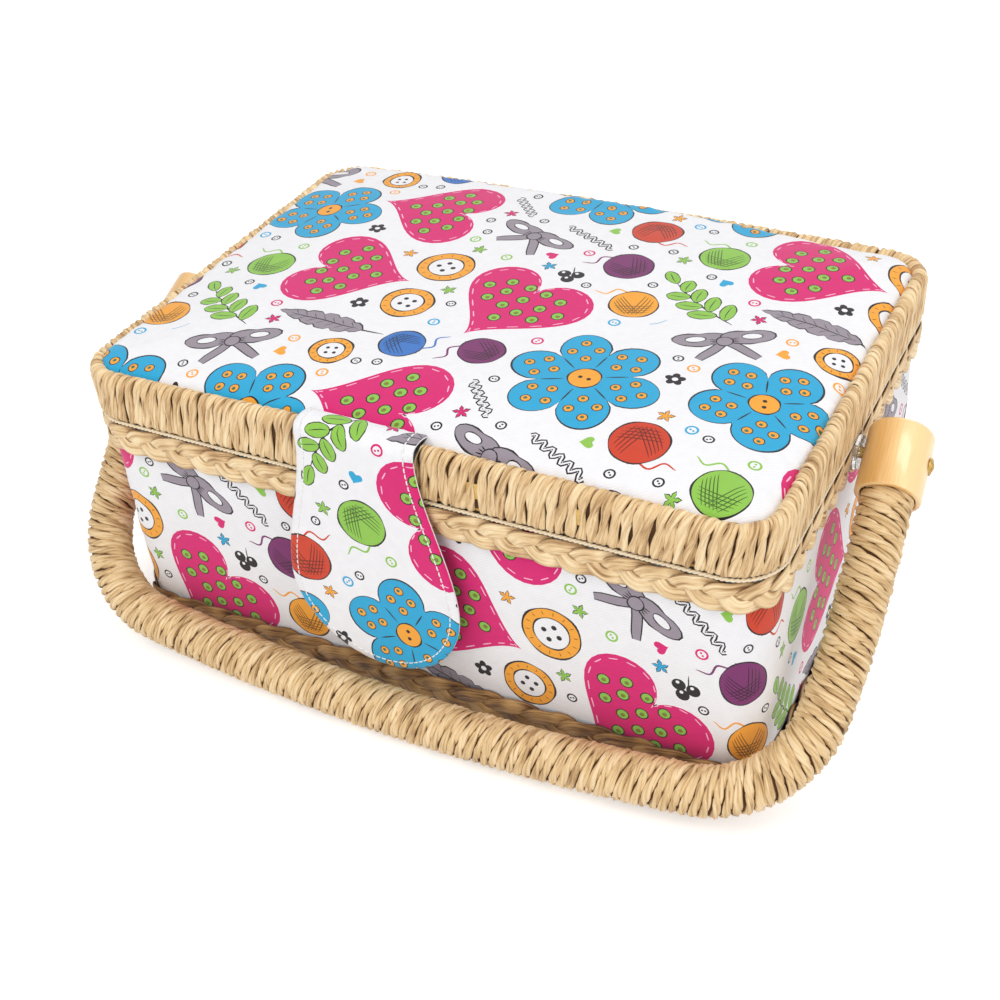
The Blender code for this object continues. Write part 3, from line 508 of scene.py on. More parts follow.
def rim_winding(material):
    """Raffia wound over the hoop: a flat twisted strand for each turn, each with its own lean and width."""
    rng = np.random.default_rng(7)
    count = 244
    steps = 30
    path = smooth_path(((2.6, 1.3), (1.3, 0.75), (0.62, 1.7), (0.6, 5.5), (0.6, 11.5), (0.75, 14.6), (1.5, 16.8),
                        (2.8, 17.6), (4.0, 17.0), (4.8, 15.6), (5.1, 13.5)), steps) * MM
    inset, rise = path[:, 0], path[:, 1]
    slope = np.gradient(path, axis=0)
    slope /= np.linalg.norm(slope, axis=1, keepdims=True)
    share = np.linspace(0, 1, steps)
    spacing = PERIMETER / count
    place = spacing * (np.arange(count) + rng.normal(0, 0.07, count))
    lean = 4.0 * MM + rng.normal(0, 0.5, count) * MM
    sway = 0.30 * MM * np.sin(2 * math.pi * (share * rng.uniform(0.6, 1.5, (count, 1)) + rng.random((count, 1))))
    over = 1.4 * MM * np.clip((share - 0.62) / 0.38, 0, 1)
    distance = place[:, None] + lean[:, None] * (share - 0.5) + sway + over
    points, normal, _ = outline_at(distance)
    plan = points - normal * inset[:, None]
    bow = lift(points[..., 0]) - 0.7 * MM * np.clip(normal[..., 1], 0, 1)
    height = SEAM + rise + bow * np.clip(rise / (8 * MM), 0, 1)
    centres = np.concatenate([plan, height[..., None]], -1)
    outward = np.concatenate([normal * slope[:, 1:2], (slope[:, 0] * np.ones(distance.shape))[..., None]], -1)
    ridge = np.exp(-((share - 0.70) / 0.12) ** 2)
    waist = np.exp(-((share - rng.uniform(0.25, 0.5, (count, 1))) / 0.13) ** 2)
    width = spacing * 0.51 * rng.uniform(0.92, 1.10, (count, 1)) * (1 - 0.06 * ridge)
    width = width * (1 - 0.18 * rng.random((count, 1)) * waist)
    for spot in GLIMPSES:
        beside = np.exp(-((place[:, None] - spot) / (3.0 * MM)) ** 2)
        width = width * (1 - 0.42 * beside * np.exp(-((share - 0.42) / 0.14) ** 2))
    width = width * (1 + 0.17 * np.sin(2 * math.pi * (share * rng.uniform(1.2, 2.2, (count, 1)) + rng.random((count, 1)))))
    thick = 0.76 * MM * rng.uniform(0.86, 1.14, (count, 1)) * (1 + 0.42 * ridge)
    plies = 3
    turn = 2 * math.pi * (np.arange(plies)[:, None, None] / plies + rng.random((count, 1))
                          + share * rng.uniform(0.5, 1.0, (count, 1)))
    tone = np.tile(rng.random(count), plies) * 0.6 + rng.random(count * plies) * 0.4
    centres, outward, width, thick = bundled(centres, outward, width, thick, turn)
    swept = sweep(centres, outward, width, thick, 4, 0.10, 300, 10, rng.random(len(centres)) * 6)
    winding = strands("rim_winding", swept, tone, width, material, "lid")
    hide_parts("lid_rim_wrap")


def painted_shade_underlay(name, rows, material, body):
    """A dark sheet under the strands: painted shade that shows between them."""
    return loft_sheet(name, rows, material, body)


def rim_underlay(material, wood):
    """A dark sheet under the rim's strands as painted shade, with the wooden strip showing where they stand apart."""
    rows = []
    for inset, rise in ((2.4, 0.9), (1.25, 1.4), (1.2, 6.0), (1.2, 12.0), (1.4, 14.8), (2.0, 16.1), (2.9, 16.5),
                        (3.9, 15.8), (4.5, 14.6), (4.7, 13.0)):
        share = min(1.0, rise / 8.0)
        row = ring_row(inset * MM, SEAM + rise * MM)
        row[:, 2] += lift(row[:, 0]) * share
        rows.append(row)
    painted_shade_underlay("rim_under_wrap", rows, material, "lid")
    for number, spot in enumerate(GLIMPSES):
        points, normal, _ = outline_at(spot + np.linspace(-2.2, 2.2, 7) * MM)
        plan = points - normal * 0.55 * MM
        rows = [np.column_stack([plan, np.full(7, SEAM + rise * MM)]) for rise in (6.0, 8.0, 10.0, 12.0)]
        loft_sheet("rim_strip_glimpse_%d" % number, rows, wood, "lid", closed=False)


def plait(name, node, low, height, depth_inset, periods, material, painted_hollow_shade, lean=False, seed=3):
    """A flat three-strand straw plait round the box; every strand is a fluted ribbon."""
    rng = np.random.default_rng(seed)
    steps = periods * 28
    distance = np.arange(steps) * PERIMETER / steps
    points, normal, _ = outline_at(distance)
    theta = 2 * math.pi * periods * distance / PERIMETER
    half_width = height * 0.235
    swing = height / 2 - half_width * 1.04
    centres, over = [], []
    for strand in range(3):
        angle = theta + strand * 2 * math.pi / 3
        rise = low + height / 2 + swing * (np.sin(angle) + 0.14 * np.sin(3 * angle)) / 0.87
        over.append(np.sin(2 * angle))
        inset = depth_inset - 0.80 * MM * over[-1]
        inset = wall_line(inset, rise) if lean else inset
        plan = points - normal * inset[:, None]
        centres.append(np.concatenate([plan, rise[:, None]], -1))
    centres = np.array(centres)
    outward = np.concatenate([normal, np.zeros((steps, 1))], -1) * np.ones((3, 1, 1))
    wave = sum(np.sin(k * 2 * math.pi * distance / PERIMETER + rng.random((3, 1)) * 6) for k in (31, 53, 87))
    width = half_width * (1 + 0.04 * wave)
    thick = 0.62 * MM * (1 + 0.08 * wave)
    swept = list(sweep_closed(centres, outward, width, thick, 11, 0.06, 0.0, 44))
    # Painted shade: darker where a strand dives under its neighbours.
    swept[1] = swept[1] * np.clip(0.80 + 0.42 * np.array(over), 0.28, 1)[..., None]
    tone = 0.5 + 0.20 * wave + rng.normal(0, 0.12, (3, 1))
    band = strands(name, swept, tone[..., None], width, material, "basket", closed=True)
    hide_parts(node)
    # A dark sheet under the plait: painted shade in the gaps between its strands.
    rows = []
    for rise in (0.14, 0.3, 0.5, 0.7, 0.86):
        place = low + height * rise
        inset = depth_inset + 0.95 * MM
        rows.append(ring_row(wall_line(inset, place) if lean else inset, place))
    painted_shade_underlay(name + "_under", rows, painted_hollow_shade, "basket")


def sweep_closed(centres, outward, width, thick, flutes=6, flute=0.13, twist=0.0, sides=20):
    """Swept strands that close on themselves."""
    along = unit(np.roll(centres, -1, axis=-2) - np.roll(centres, 1, axis=-2))
    across = unit(np.cross(outward, along))
    out = np.cross(along, across)
    hops = np.linalg.norm(centres - np.roll(centres, 1, axis=-2), axis=-1)
    length = np.cumsum(hops, axis=-1)
    angle = np.arange(sides) * 2 * math.pi / sides
    wave = np.cos(flutes * angle + twist * length[..., None])
    swell = 1 + flute * wave
    side = width[..., None] * np.cos(angle) * swell
    rise = thick[..., None] * np.sin(angle) * swell
    points = centres[..., None, :] + side[..., None] * across[..., None, :] + rise[..., None] * out[..., None, :]
    # Painted shade: the share falls towards the strand's edges and underside.
    middle = np.clip(0.06 + 1.5 * np.sin(angle), 0, 1) * np.ones(side.shape)
    return points, np.clip(middle + 0.1 * wave, 0, 1), length, angle / (2 * math.pi)


def seam_cord(material):
    """The thin two-ply cord that lies in the seam under the lid."""
    turns = 250
    per_turn = 8
    steps = turns * per_turn
    distance = np.arange(steps) * PERIMETER / steps
    points, normal, _ = outline_at(distance)
    centres = []
    outward = []
    for ply in range(2):
        angle = 2 * math.pi * (np.arange(steps) / per_turn + ply / 2)
        inset = 0.85 * MM - 0.27 * MM * np.cos(angle)
        plan = points - normal * inset[:, None]
        rise = SEAM - 0.85 * MM + 0.27 * MM * np.sin(angle)
        centres.append(np.concatenate([plan, rise[:, None]], -1))
        outward.append(np.concatenate([normal * np.cos(angle)[:, None], np.sin(angle)[:, None]], -1))
    thick = np.full((2, steps), 0.42 * MM)
    swept = sweep_closed(np.array(centres), np.array(outward), thick, thick, 3, 0.08, 0.0, 8)
    cord = strands("seam_piping", swept, [0.4, 0.6], thick, material, "basket", closed=True)
    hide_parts("rim_piping")


def trace_handle():
    """Centre line of the right half of the handle, by small steps along it."""
    step = 0.1 * MM
    s = np.arange(0, HALF_LENGTH + step, step)
    corner_start = SLEEVE_REACH + ARM_LENGTH
    arm_end = HANDLE_SPLAY - ARM_TURN
    heading = HANDLE_SPLAY - ARM_TURN * np.clip((s - SLEEVE_REACH) / ARM_LENGTH, 0, 1)
    corner = np.maximum(s - corner_start, 0) / HANDLE_CORNER
    bar_angle = (HALF_LENGTH - corner_start - HANDLE_CORNER * (math.pi / 2 + arm_end)) / (BAR_BOW - HANDLE_CORNER)
    corner_turn = math.pi / 2 - bar_angle + arm_end
    past = np.maximum(s - corner_start - corner_turn * HANDLE_CORNER, 0) / BAR_BOW
    heading = heading - np.minimum(corner, corner_turn) - past
    out = PIVOT_OUT + np.concatenate([[0], np.cumsum(np.sin(heading[:-1]) * step)])
    reach = np.concatenate([[0], np.cumsum(np.cos(heading[:-1]) * step)])
    pitch = SLEEVE_PITCH + ARM_BEND * np.clip((reach - SLEEVE_REACH) / ARM_BEND_LENGTH, 0, 1)
    forward = np.concatenate([[0], np.cumsum(np.cos(pitch[:-1]) * np.diff(reach))])
    down = np.concatenate([[0], np.cumsum(np.sin(pitch[:-1]) * np.diff(reach))])
    return s, out, forward, down, heading, pitch


TRACE = trace_handle()


def handle_at(distance):
    """Centres, tangents, normals and third directions of the handle, right end to left end."""
    s, out, forward, down, heading, pitch = TRACE
    distance = np.asarray(distance, dtype=float)
    mirrored = distance > HALF_LENGTH
    local = np.where(mirrored, 2 * HALF_LENGTH - distance, distance)
    before = np.minimum(local, 0)
    local = np.maximum(local, 0)
    sign = np.where(mirrored, -1.0, 1.0)
    head = np.interp(local, s, heading)
    lean = np.interp(local, s, pitch)
    tangent = np.stack([np.sin(head), -np.cos(head) * np.cos(lean), -np.cos(head) * np.sin(lean)], -1)
    centre = np.stack([np.interp(local, s, out), PIVOT.y - np.interp(local, s, forward),
                       PIVOT.z - np.interp(local, s, down)], -1) + before[..., None] * tangent
    centre[..., 0] *= sign
    tangent[..., 1:] *= sign[..., None]
    normal = np.stack([np.zeros(lean.shape), -np.sin(lean), np.cos(lean)], -1)
    return centre, tangent, normal, np.cross(tangent, normal)


def handle_winding(material, painted_hollow_shade):
    """Five raffia strands wound side by side round the handle, leaning as the real winding does."""
    rng = np.random.default_rng(11)
    starts = 5
    strand_pitch = 3.2 * MM
    seat = 5.0 * MM
    run = 2 * HALF_LENGTH - 2 * seat
    turns = run / (starts * strand_pitch)
    steps = int(turns * 30)
    distance = seat + run * np.arange(steps) / (steps - 1)
    centre, _, normal, across = handle_at(distance)
    wander = sum(a * np.sin(2 * math.pi * distance / w + rng.random((starts, 1)) * 6.3)
                 for a, w in ((0.055, 0.013), (0.05, 0.031), (0.04, 0.0072)))
    angle = -2 * math.pi * (distance - seat) / (starts * strand_pitch)
    angle = angle + 2 * math.pi * np.arange(starts)[:, None] / starts + wander
    ripple = sum(np.sin(2 * math.pi * distance / w + rng.random((starts, 1)) * 6.3) for w in (0.0047, 0.0091, 0.021))
    width = 1.52 * MM * (1 + 0.09 * ripple)
    thick = 1.0 * MM * (1 + 0.07 * ripple)
    radial = np.cos(angle)[..., None] * normal + np.sin(angle)[..., None] * across
    centres = centre + (WRAP_RADIUS - 0.95 * MM) * radial
    plies = 3
    spin = -np.cumsum(np.full(steps, 54.0 / 30 / 24)) + 0.08 * ripple
    turn = 2 * math.pi * (np.arange(plies)[:, None, None] / plies + spin)
    tone = 0.5 + 0.2 * np.tile(ripple, (plies, 1)) + rng.normal(0, 0.12, (plies * starts, 1))
    centres, outward, width, thick = bundled(centres, radial, width, thick, turn)
    swept = sweep(centres, outward, width, thick, 4, 0.10, 300, 10, rng.random(len(centres)) * 6)
    winding = strands("handle_winding", swept, tone, width, material, "handle")
    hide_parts("handle_wrap")
    # A dark tube under the winding: painted shade in the gaps between the strands.
    spots = seat + run * np.arange(140) / 139
    centre, _, normal, across = handle_at(spots)
    around = np.arange(24) * 2 * math.pi / 24
    rows = centre[:, None] + 7.5 * MM * (np.cos(around)[:, None] * normal[:, None] + np.sin(around)[:, None] * across[:, None])
    painted_shade_underlay("handle_under_wrap", rows, painted_hollow_shade, "handle")


def turned(name, profile, place, axis, material, body, slot, steps=64, closed=False):
    """A turned piece from (distance along the axis, radius) points."""
    direction = Vector(axis).normalized()
    side = direction.orthogonal().normalized()
    other = direction.cross(side)
    angle = np.arange(steps) * 2 * math.pi / steps
    profile = np.asarray(profile, dtype=float)
    ring = np.cos(angle)[:, None] * np.array(side) + np.sin(angle)[:, None] * np.array(other)
    points = np.array(place) + profile[:, 0, None, None] * np.array(direction) + profile[:, 1, None, None] * ring
    rows = len(profile)
    index = np.arange(rows * steps).reshape(rows, steps)
    ahead = np.roll(index, -1, 0) if closed else index[1:]
    here = index if closed else index[:-1]
    faces = np.stack([here, np.roll(here, -1, 1), np.roll(ahead, -1, 1), ahead], -1).reshape(-1, 4).tolist()
    reach = np.concatenate([[0], np.cumsum(np.hypot(*np.diff(profile, axis=0).T))])
    reach = np.append(reach, reach[-1] + 1 * MM)
    end_grain = profile[:, 1:] * np.stack([END_GRAIN[0] * np.cos(angle), END_GRAIN[1] * np.sin(angle)])[:, None]
    hops = np.abs(np.diff(profile, axis=0, append=profile[:1]))
    uv = []
    for row in range(len(here)):
        after = (row + 1) % rows
        for k in range(steps):
            v0, v1 = k / steps, (k + 1) / steps
            beside = (k + 1) % steps
            if hops[row, 1] > hops[row, 0]:
                uv += [end_grain[:, r, j] for r, j in ((row, k), (row, beside), (after, beside), (after, k))]
            else:
                uv += [(reach[row], v0), (reach[row], v1), (reach[row + 1], v1), (reach[row + 1], v0)]
    if not closed:
        faces += [index[0, ::-1].tolist(), index[-1].tolist()]
        uv += [(0, 0)] * (2 * steps)
    obj = make_mesh(name, points.reshape(-1, 3), faces, material, body, None, ("strand", uv))
    turn_outwards(obj)
    obj.data.set_sharp_from_angle(angle=math.radians(42))
    return obj


def turn_outwards(obj):
    mesh = bmesh.new()
    mesh.from_mesh(obj.data)
    bmesh.ops.recalc_face_normals(mesh, faces=mesh.faces)
    mesh.to_mesh(obj.data)
    mesh.free()


def rounded(points, start, end, radius_from, steps=5):
    """Adds a quarter round between two (distance, radius) places to a profile."""
    for k in range(steps + 1):
        angle = math.pi / 2 * k / steps
        if radius_from == "flat":
            share_x, share_r = 1 - math.cos(angle), math.sin(angle)
        else:
            share_x, share_r = math.sin(angle), 1 - math.cos(angle)
        points.append((start[0] + (end[0] - start[0]) * share_x, start[1] + (end[1] - start[1]) * share_r))


def sleeves_and_pivots(wood, brass, steel, clear):
    """Turned sleeves, domed bolts with their shanks, clear spacers, washers and nuts."""
    for side, hand in ((1, "right"), (-1, "left")):
        centre, tangent, _, _ = handle_at(np.array(0.0))
        place = (side * centre[0], centre[1], centre[2])
        axis = (side * tangent[0], tangent[1], tangent[2])
        profile = [(-11.0 * MM, 0.4 * MM), (-10.95 * MM, 5.0 * MM)]
        rounded(profile, (-10.9 * MM, 8.6 * MM), (-8.6 * MM, 10.9 * MM), "flat")
        rounded(profile, (13.7 * MM, 10.9 * MM), (14.5 * MM, 10.1 * MM), "side", 4)
        rounded(profile, (14.5 * MM, 9.6 * MM), (13.9 * MM, 8.9 * MM), "flat", 3)
        profile += [(4.4 * MM, 8.9 * MM), (4.2 * MM, 6.35 * MM), (-6.5 * MM, 6.3 * MM), (-6.7 * MM, 0.4 * MM)]
        sleeve = turned("wooden_sleeve_" + hand, profile, place, axis, wood, "handle", "sleeve_wood", 96)
        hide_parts("sleeve_" + hand)
        seat = SEAT_OUT + GAP
        bolt = [(117.1 * MM, 0.3 * MM), (117.1 * MM, 2.0 * MM), (seat, 2.0 * MM), (seat, 2.85 * MM)]
        rounded(bolt, (seat + 0.2 * MM, 3.0 * MM), (seat + 0.9 * MM, 2.5 * MM), "side", 5)
        bolt += [(seat + 0.95 * MM, 2.3 * MM), (seat + 0.7 * MM, 2.0 * MM), (seat + 0.7 * MM, 1.8 * MM)]
        rounded(bolt, (seat + 0.8 * MM, 1.7 * MM), (seat + 1.6 * MM, 0.15 * MM), "side", 6)
        outward = (side, 0, 0)
        centre_line = (0, PIVOT.y, PIVOT.z)
        piece = turned("pivot_bolt_" + hand, bolt, centre_line, outward, brass, "basket", "brass", 48)
        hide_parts("bolt_" + hand)
        ring = ((130.35, 2.3), (130.35, 5.8), (130.55, 6.0), (131.65, 6.0), (131.85, 5.8), (131.85, 2.3))
        ring = [(x * MM, r * MM) for x, r in ring]
        piece = turned("clear_spacer_" + hand, ring, centre_line, outward, clear, "basket", "clear_plastic", 48, True)
        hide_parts("spacer_" + hand)
        for node in ("washer_" + hand, "nut_" + hand):
            dress(node, steel)


def dress(node, material):
    """Gives a CAD node that stays in view its finished material."""
    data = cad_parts[node].data
    data.materials.clear()
    data.materials.append(material)


# Motifs of the printed cloth, in millimetres round their own middle: lists of (colour, outline), lowest first

def polar(radius, count=28, start=0.0):
    angle = start + np.arange(count) * 2 * math.pi / count
    reach = radius(angle) if callable(radius) else radius * np.ones(count)
    return np.stack([reach * np.cos(angle), reach * np.sin(angle)], -1)


def grown(points, amount):
    """An outline moved outwards by an amount that swells and thins as a pen line does."""
    edge = np.roll(points, -1, 0) - np.roll(points, 1, 0)
    edge /= np.maximum(np.linalg.norm(edge, axis=1, keepdims=True), 1e-9)
    phase = np.arange(len(points)) * 2 * math.pi / len(points)
    wave = 1 + 0.35 * np.sin(3 * phase + 1) + 0.2 * np.sin(7 * phase)
    return points + np.stack([edge[:, 1], -edge[:, 0]], -1) * (amount * wave)[:, None]


def inked(colour, points, line=0.45):
    return [(INK, grown(points, line)), (colour, points)]


def moved(layers, x=0.0, y=0.0, turn=0.0, scale=1.0):
    cosine, sine = scale * math.cos(turn), scale * math.sin(turn)
    spin = np.array([[cosine, sine], [-sine, cosine]])
    return [(colour, points @ spin + (x, y)) for colour, points in layers]


def stroke(colour, path, width, taper=0.3):
    """A drawn line, thinner at its two ends."""
    path = np.asarray(path, dtype=float)
    along = np.gradient(path, axis=0)
    along /= np.maximum(np.linalg.norm(along, axis=1, keepdims=True), 1e-9)
    side = np.stack([-along[:, 1], along[:, 0]], -1)
    share = np.linspace(0, 1, len(path))
    half = width / 2 * (taper + (1 - taper) * np.sin(math.pi * share) ** 0.5)
    return [(colour, np.concatenate([path - side * half[:, None], (path + side * half[:, None])[::-1]]))]


def dot(radius, x, y, outer, inner):
    """A printed dot: dark rim, fill and a small off-centre ring."""
    layers = [(INK, polar(radius * 1.22, 12, 0.3)), (outer, polar(radius, 12))]
    layers.append((inner, polar(radius * 0.45, 7) + (0.12 * radius, -0.1 * radius)))
    return moved(layers, x, y)


def patch_heart():
    t = np.arange(56) * 2 * math.pi / 56
    heart = np.stack([16 * np.sin(t) ** 3, 13 * np.cos(t) - 5 * np.cos(2 * t) - 2 * np.cos(3 * t) - np.cos(4 * t)], -1)
    heart = heart[::-1] * 1.62
    layers = inked(MAGENTA, heart, 0.55)
    olive = srgb(120, 130, 50)
    for row in range(-4, 4):
        for column in range(-4, 5):
            x = 8.4 * (column + 0.5 * (row % 2)) + 0.8 * math.sin(3 * row + column)
            y = 7.0 * row + 2.0 + 0.7 * math.sin(5 * column + row)
            if inside_outline(np.array([[x, y]]), heart * 0.80)[0]:
                layers += dot(2.05, x, y, LIME, olive)
    ring = heart * 0.925
    for k in range(0, 56, 2):
        layers += stroke(srgb(250, 190, 214), (ring[k], (ring[k] + ring[(k + 1) % 56]) / 2, ring[(k + 1) % 56]), 0.45, 0.8)
    return layers


def bloom(size=27.0, petals=6, colour=TURQUOISE):
    layers = inked(colour, polar(lambda a: size * (0.56 + 0.44 * np.abs(np.cos(petals * a / 2)) ** 0.65), 96), 0.5)
    for k in range(petals):
        turn = 2 * math.pi * k / petals
        for reach, side in ((0.80, 0.0), (0.62, 0.17), (0.62, -0.17), (0.44, 0.0)):
            x = size * (reach * math.cos(turn) - side * math.sin(turn))
            y = size * (reach * math.sin(turn) + side * math.cos(turn))
            layers += dot(1.6, x, y, ORANGE, srgb(60, 110, 90))
        groove = turn + math.pi / petals
        path = [(size * r * math.cos(groove), size * r * math.sin(groove)) for r in (0.26, 0.36, 0.46, 0.54)]
        layers += stroke(INK, path, 0.6)
    layers += inked(ORANGE, polar(size * 0.2, 24), 0.5)
    for side in (-1, 1):
        layers.append((INK, polar(0.8, 8) + (side * 1.6, 0)))
    return layers


def button(radius=9.5, colour=ORANGE, middle=WHITE_CLOTH):
    layers = inked(colour, polar(radius, 36), 0.6)
    for k in range(14):
        angle = k * 2 * math.pi / 14 + 0.1
        path = [(radius * r * math.cos(angle + 0.03 * r), radius * r * math.sin(angle)) for r in (0.76, 0.84, 0.93)]
        layers += stroke(srgb(150, 84, 20), path, 0.4)
    layers += inked(middle, polar(radius * 0.62, 30), 0.5)
    for x, y in ((-1, -1), (-1, 1), (1, -1), (1, 1)):
        layers.append((INK, polar(radius * 0.10, 8) + (x * radius * 0.2, y * radius * 0.2)))
    return layers


def yarn_ball(colour, radius=8.5):
    tail = [(-radius * 0.2 + 0.9 * k, -radius * 0.92 - 1.5 + 1.4 * math.sin(0.62 * k)) for k in range(18)]
    layers = stroke(colour, tail, 0.8) + inked(colour, polar(radius, 36), 0.5)
    dark = tuple(0.25 * value for value in colour)
    for turn, count in ((0.4, 5), (1.5, 4), (2.6, 4)):
        for k in range(count):
            offset = radius * (0.15 + 0.62 * k / count)
            span = math.acos(min(0.98, offset / radius)) * 0.8
            arc = [(offset * 1.05 * math.cos(a) / max(math.cos(a * 0.9), 0.3), radius * 0.9 * math.sin(a))
                   for a in np.linspace(-span, span, 9)]
            layers += moved(stroke(dark, arc, 0.42), turn=turn)
    return layers


def leaf(length, width, colour):
    t = np.linspace(0, math.pi, 9)
    top = np.stack([length * (1 - np.cos(t)) / 2, width / 2 * np.sin(t) ** 1.2], -1)
    body = np.concatenate([top[:-1] * (1, -1), top[:0:-1]])
    vein = [(length * s, 0.3 * math.sin(5 * s)) for s in (0.1, 0.35, 0.6, 0.85)]
    return inked(colour, body, 0.35) + stroke(INK, vein, 0.35)


def sprig(colour=LIME, count=7, size=1.0):
    length = 34 * size
    stem = [(length * s, 2.4 * math.sin(2.6 * s)) for s in np.linspace(0, 1, 12)]
    layers = stroke(INK, stem, 0.8)
    for k in range(count):
        share = 0.12 + 0.8 * k / count
        side = 1 if k % 2 else -1
        place = (length * share, 2.4 * math.sin(2.6 * share))
        layers += moved(leaf(11 * size * (1 - 0.35 * share), 5.2 * size, colour), *place, side * 0.85)
    layers += moved(leaf(9 * size, 4.6 * size, colour), length, 2.4 * math.sin(2.6), -0.2)
    return moved(layers, -length * 0.55)


def bow(colour=GREY):
    layers = []
    for side in (-1, 1):
        tail = [(side * 2 * k, -2.2 * k + 0.5 * side * math.sin(k)) for k in (0, 1, 2, 3, 4, 5)]
        layers += stroke(INK, tail, 4.2, 0.75) + stroke(colour, tail, 3.2, 0.75)
        loop = polar(lambda a: 6.6 + 1.3 * np.cos(2 * a) + 0.5 * np.sin(3 * a), 24) * (1.15, 0.72)
        layers += inked(colour, loop + (side * 8.2, 2.0), 0.5)
        layers += inked(WHITE_CLOTH, polar(2.6, 14) * (1.3, 0.6) + (side * 9.6, 2.3), 0.4)
        for k in (-1, 0, 1):
            layers += stroke(INK, [(side * r, 0.8 * k * r / 3 + 0.4) for r in (2.4, 3.6, 5.0)], 0.5)
    return layers + inked(colour, polar(2.6, 16), 0.5)


def feather(colour=GREY):
    t = np.linspace(0, 1, 22)
    notch = np.where(np.arange(22) % 4 == 3, 0.72, 1.0)
    half = 5.0 * np.sin(math.pi * t ** 0.75) ** 0.8 * notch
    body = np.concatenate([np.stack([36 * t, -half], -1), np.stack([36 * t, half], -1)[::-1][1:-1]])
    layers = stroke(INK, [(-9 + 4 * k, 0.2 * k) for k in range(6)], 0.8) + inked(colour, body, 0.45)
    layers += stroke(INK, [(2 + 3.2 * k, 0.25 * math.sin(k)) for k in range(10)], 0.55)
    for k in range(1, 8):
        for side in (-1, 1):
            layers += stroke(INK, [(4 * k, 0.3 * side), (4 * k + 1.4, 1.6 * side), (4 * k + 2.4, 3.0 * side)], 0.3)
    return moved(layers, -15)


def berries():
    layers = stroke(INK, [(-1, 6), (-0.4, 4), (0.3, 2), (0.2, 0)], 0.5)
    for x, y in ((-2.6, 0), (2.5, 0.6), (0, -3.4)):
        layers += [(INK, polar(2.5, 14) + (x, y)), (WHITE_CLOTH, polar(0.7, 8) + (x - 0.7, y + 0.8))]
    return layers


def flowerlet(colour=INK, middle=WHITE_CLOTH, size=3.6):
    layers = [(colour, polar(lambda a: size * (0.62 + 0.38 * np.abs(np.cos(2.5 * a))), 40))]
    layers.append((middle, polar(size * 0.3, 9)))
    return layers


def ring_mark(colour, size=2.3):
    layers = [(colour, polar(size, 14)), (WHITE_CLOTH, polar(size * 0.68, 12))]
    for x in (-1, 1):
        layers.append((colour, polar(size * 0.2, 6) + (x * size * 0.27, 0)))
    return layers


def star(colour, size=3.0):
    return inked(colour, polar(lambda a: size * (0.62 + 0.38 * np.cos(5 * a)), 20), 0.3)


def mini_heart(colour, size=0.17):
    t = np.arange(20) * 2 * math.pi / 20
    heart = np.stack([16 * np.sin(t) ** 3, 13 * np.cos(t) - 5 * np.cos(2 * t) - 2 * np.cos(3 * t) - np.cos(4 * t)], -1)
    return inked(colour, heart[::-1] * size, 0.3)


def curl(colour, length=26.0, waves=2.0, height=3.2):
    share = np.linspace(0, 1, int(14 * waves) + 8)
    x = length * (share - 0.5) + height * 0.9 * np.sin(2 * math.pi * waves * share)
    y = height * np.cos(2 * math.pi * waves * share + 0.4) * (0.5 + share)
    return stroke(colour, np.stack([x, y], -1), 0.42, 0.6)


def rickrack(length=26.0):
    share = np.linspace(0, 1, 40)
    x, y = length * (share - 0.5), 1.5 * np.sin(2 * math.pi * 6 * share)
    layers = stroke(INK, np.stack([x, y], -1), 2.0, 0.9)
    return layers + stroke(WHITE_CLOTH, np.stack([x, y], -1), 0.7, 0.9)


def inside_outline(points, outline_points):
    """Which points lie inside a closed outline."""
    x, y = points[:, 0, None], points[:, 1, None]
    x0, y0 = outline_points[:, 0], outline_points[:, 1]
    x1, y1 = np.roll(x0, -1), np.roll(y0, -1)
    spans = (y0 > y) != (y1 > y)
    crossing = x0 + (y - y0) * (x1 - x0) / np.where(y1 == y0, 1e-9, y1 - y0)
    return (np.sum(spans & (x < crossing), axis=1) % 2) == 1


TILE = (172, 138)


def motif_order():
    """Every motif of one repeat, large ones first."""
    blue, green = srgb(58, 118, 196), srgb(96, 170, 60)
    large = [patch_heart(), bloom(), patch_heart(), bloom(24.0, 5), patch_heart()]
    large += [sprig(), feather(), bow(), yarn_ball(RED, 9.5), button(), yarn_ball(PURPLE, 9.0), sprig(green, 8, 1.05)]
    large += [bow(), button(10.5), feather(), yarn_ball(LIME, 9.0), yarn_ball(ORANGE, 8.5), sprig(LIME, 6, 0.9)]
    large += [yarn_ball(blue, 8.0), bow(), button(8.0, ORANGE, MAGENTA), yarn_ball(RED, 8.5), feather()]
    large += [sprig(green, 5, 0.8), button(9.0), yarn_ball(PURPLE, 8.0), yarn_ball(ORANGE, 9.0), bow(), button(7.5)]
    large += [rickrack(), yarn_ball(TURQUOISE, 8.0), rickrack(), sprig(LIME, 5, 0.75), rickrack(20.0)]
    small = []
    hues = (TURQUOISE, MAGENTA, LIME, ORANGE)
    for k in range(14):
        hue = hues[k % 4]
        small += [berries() if k % 2 else flowerlet(), ring_mark(hue), curl(hue, 20 + 3 * (k % 4), 1.5 + k % 2)]
        small += [star(hues[(k + 1) % 4]) if k % 3 else mini_heart(hues[(k + 1) % 4]), ring_mark(INK, 2.0)]
    return large + small


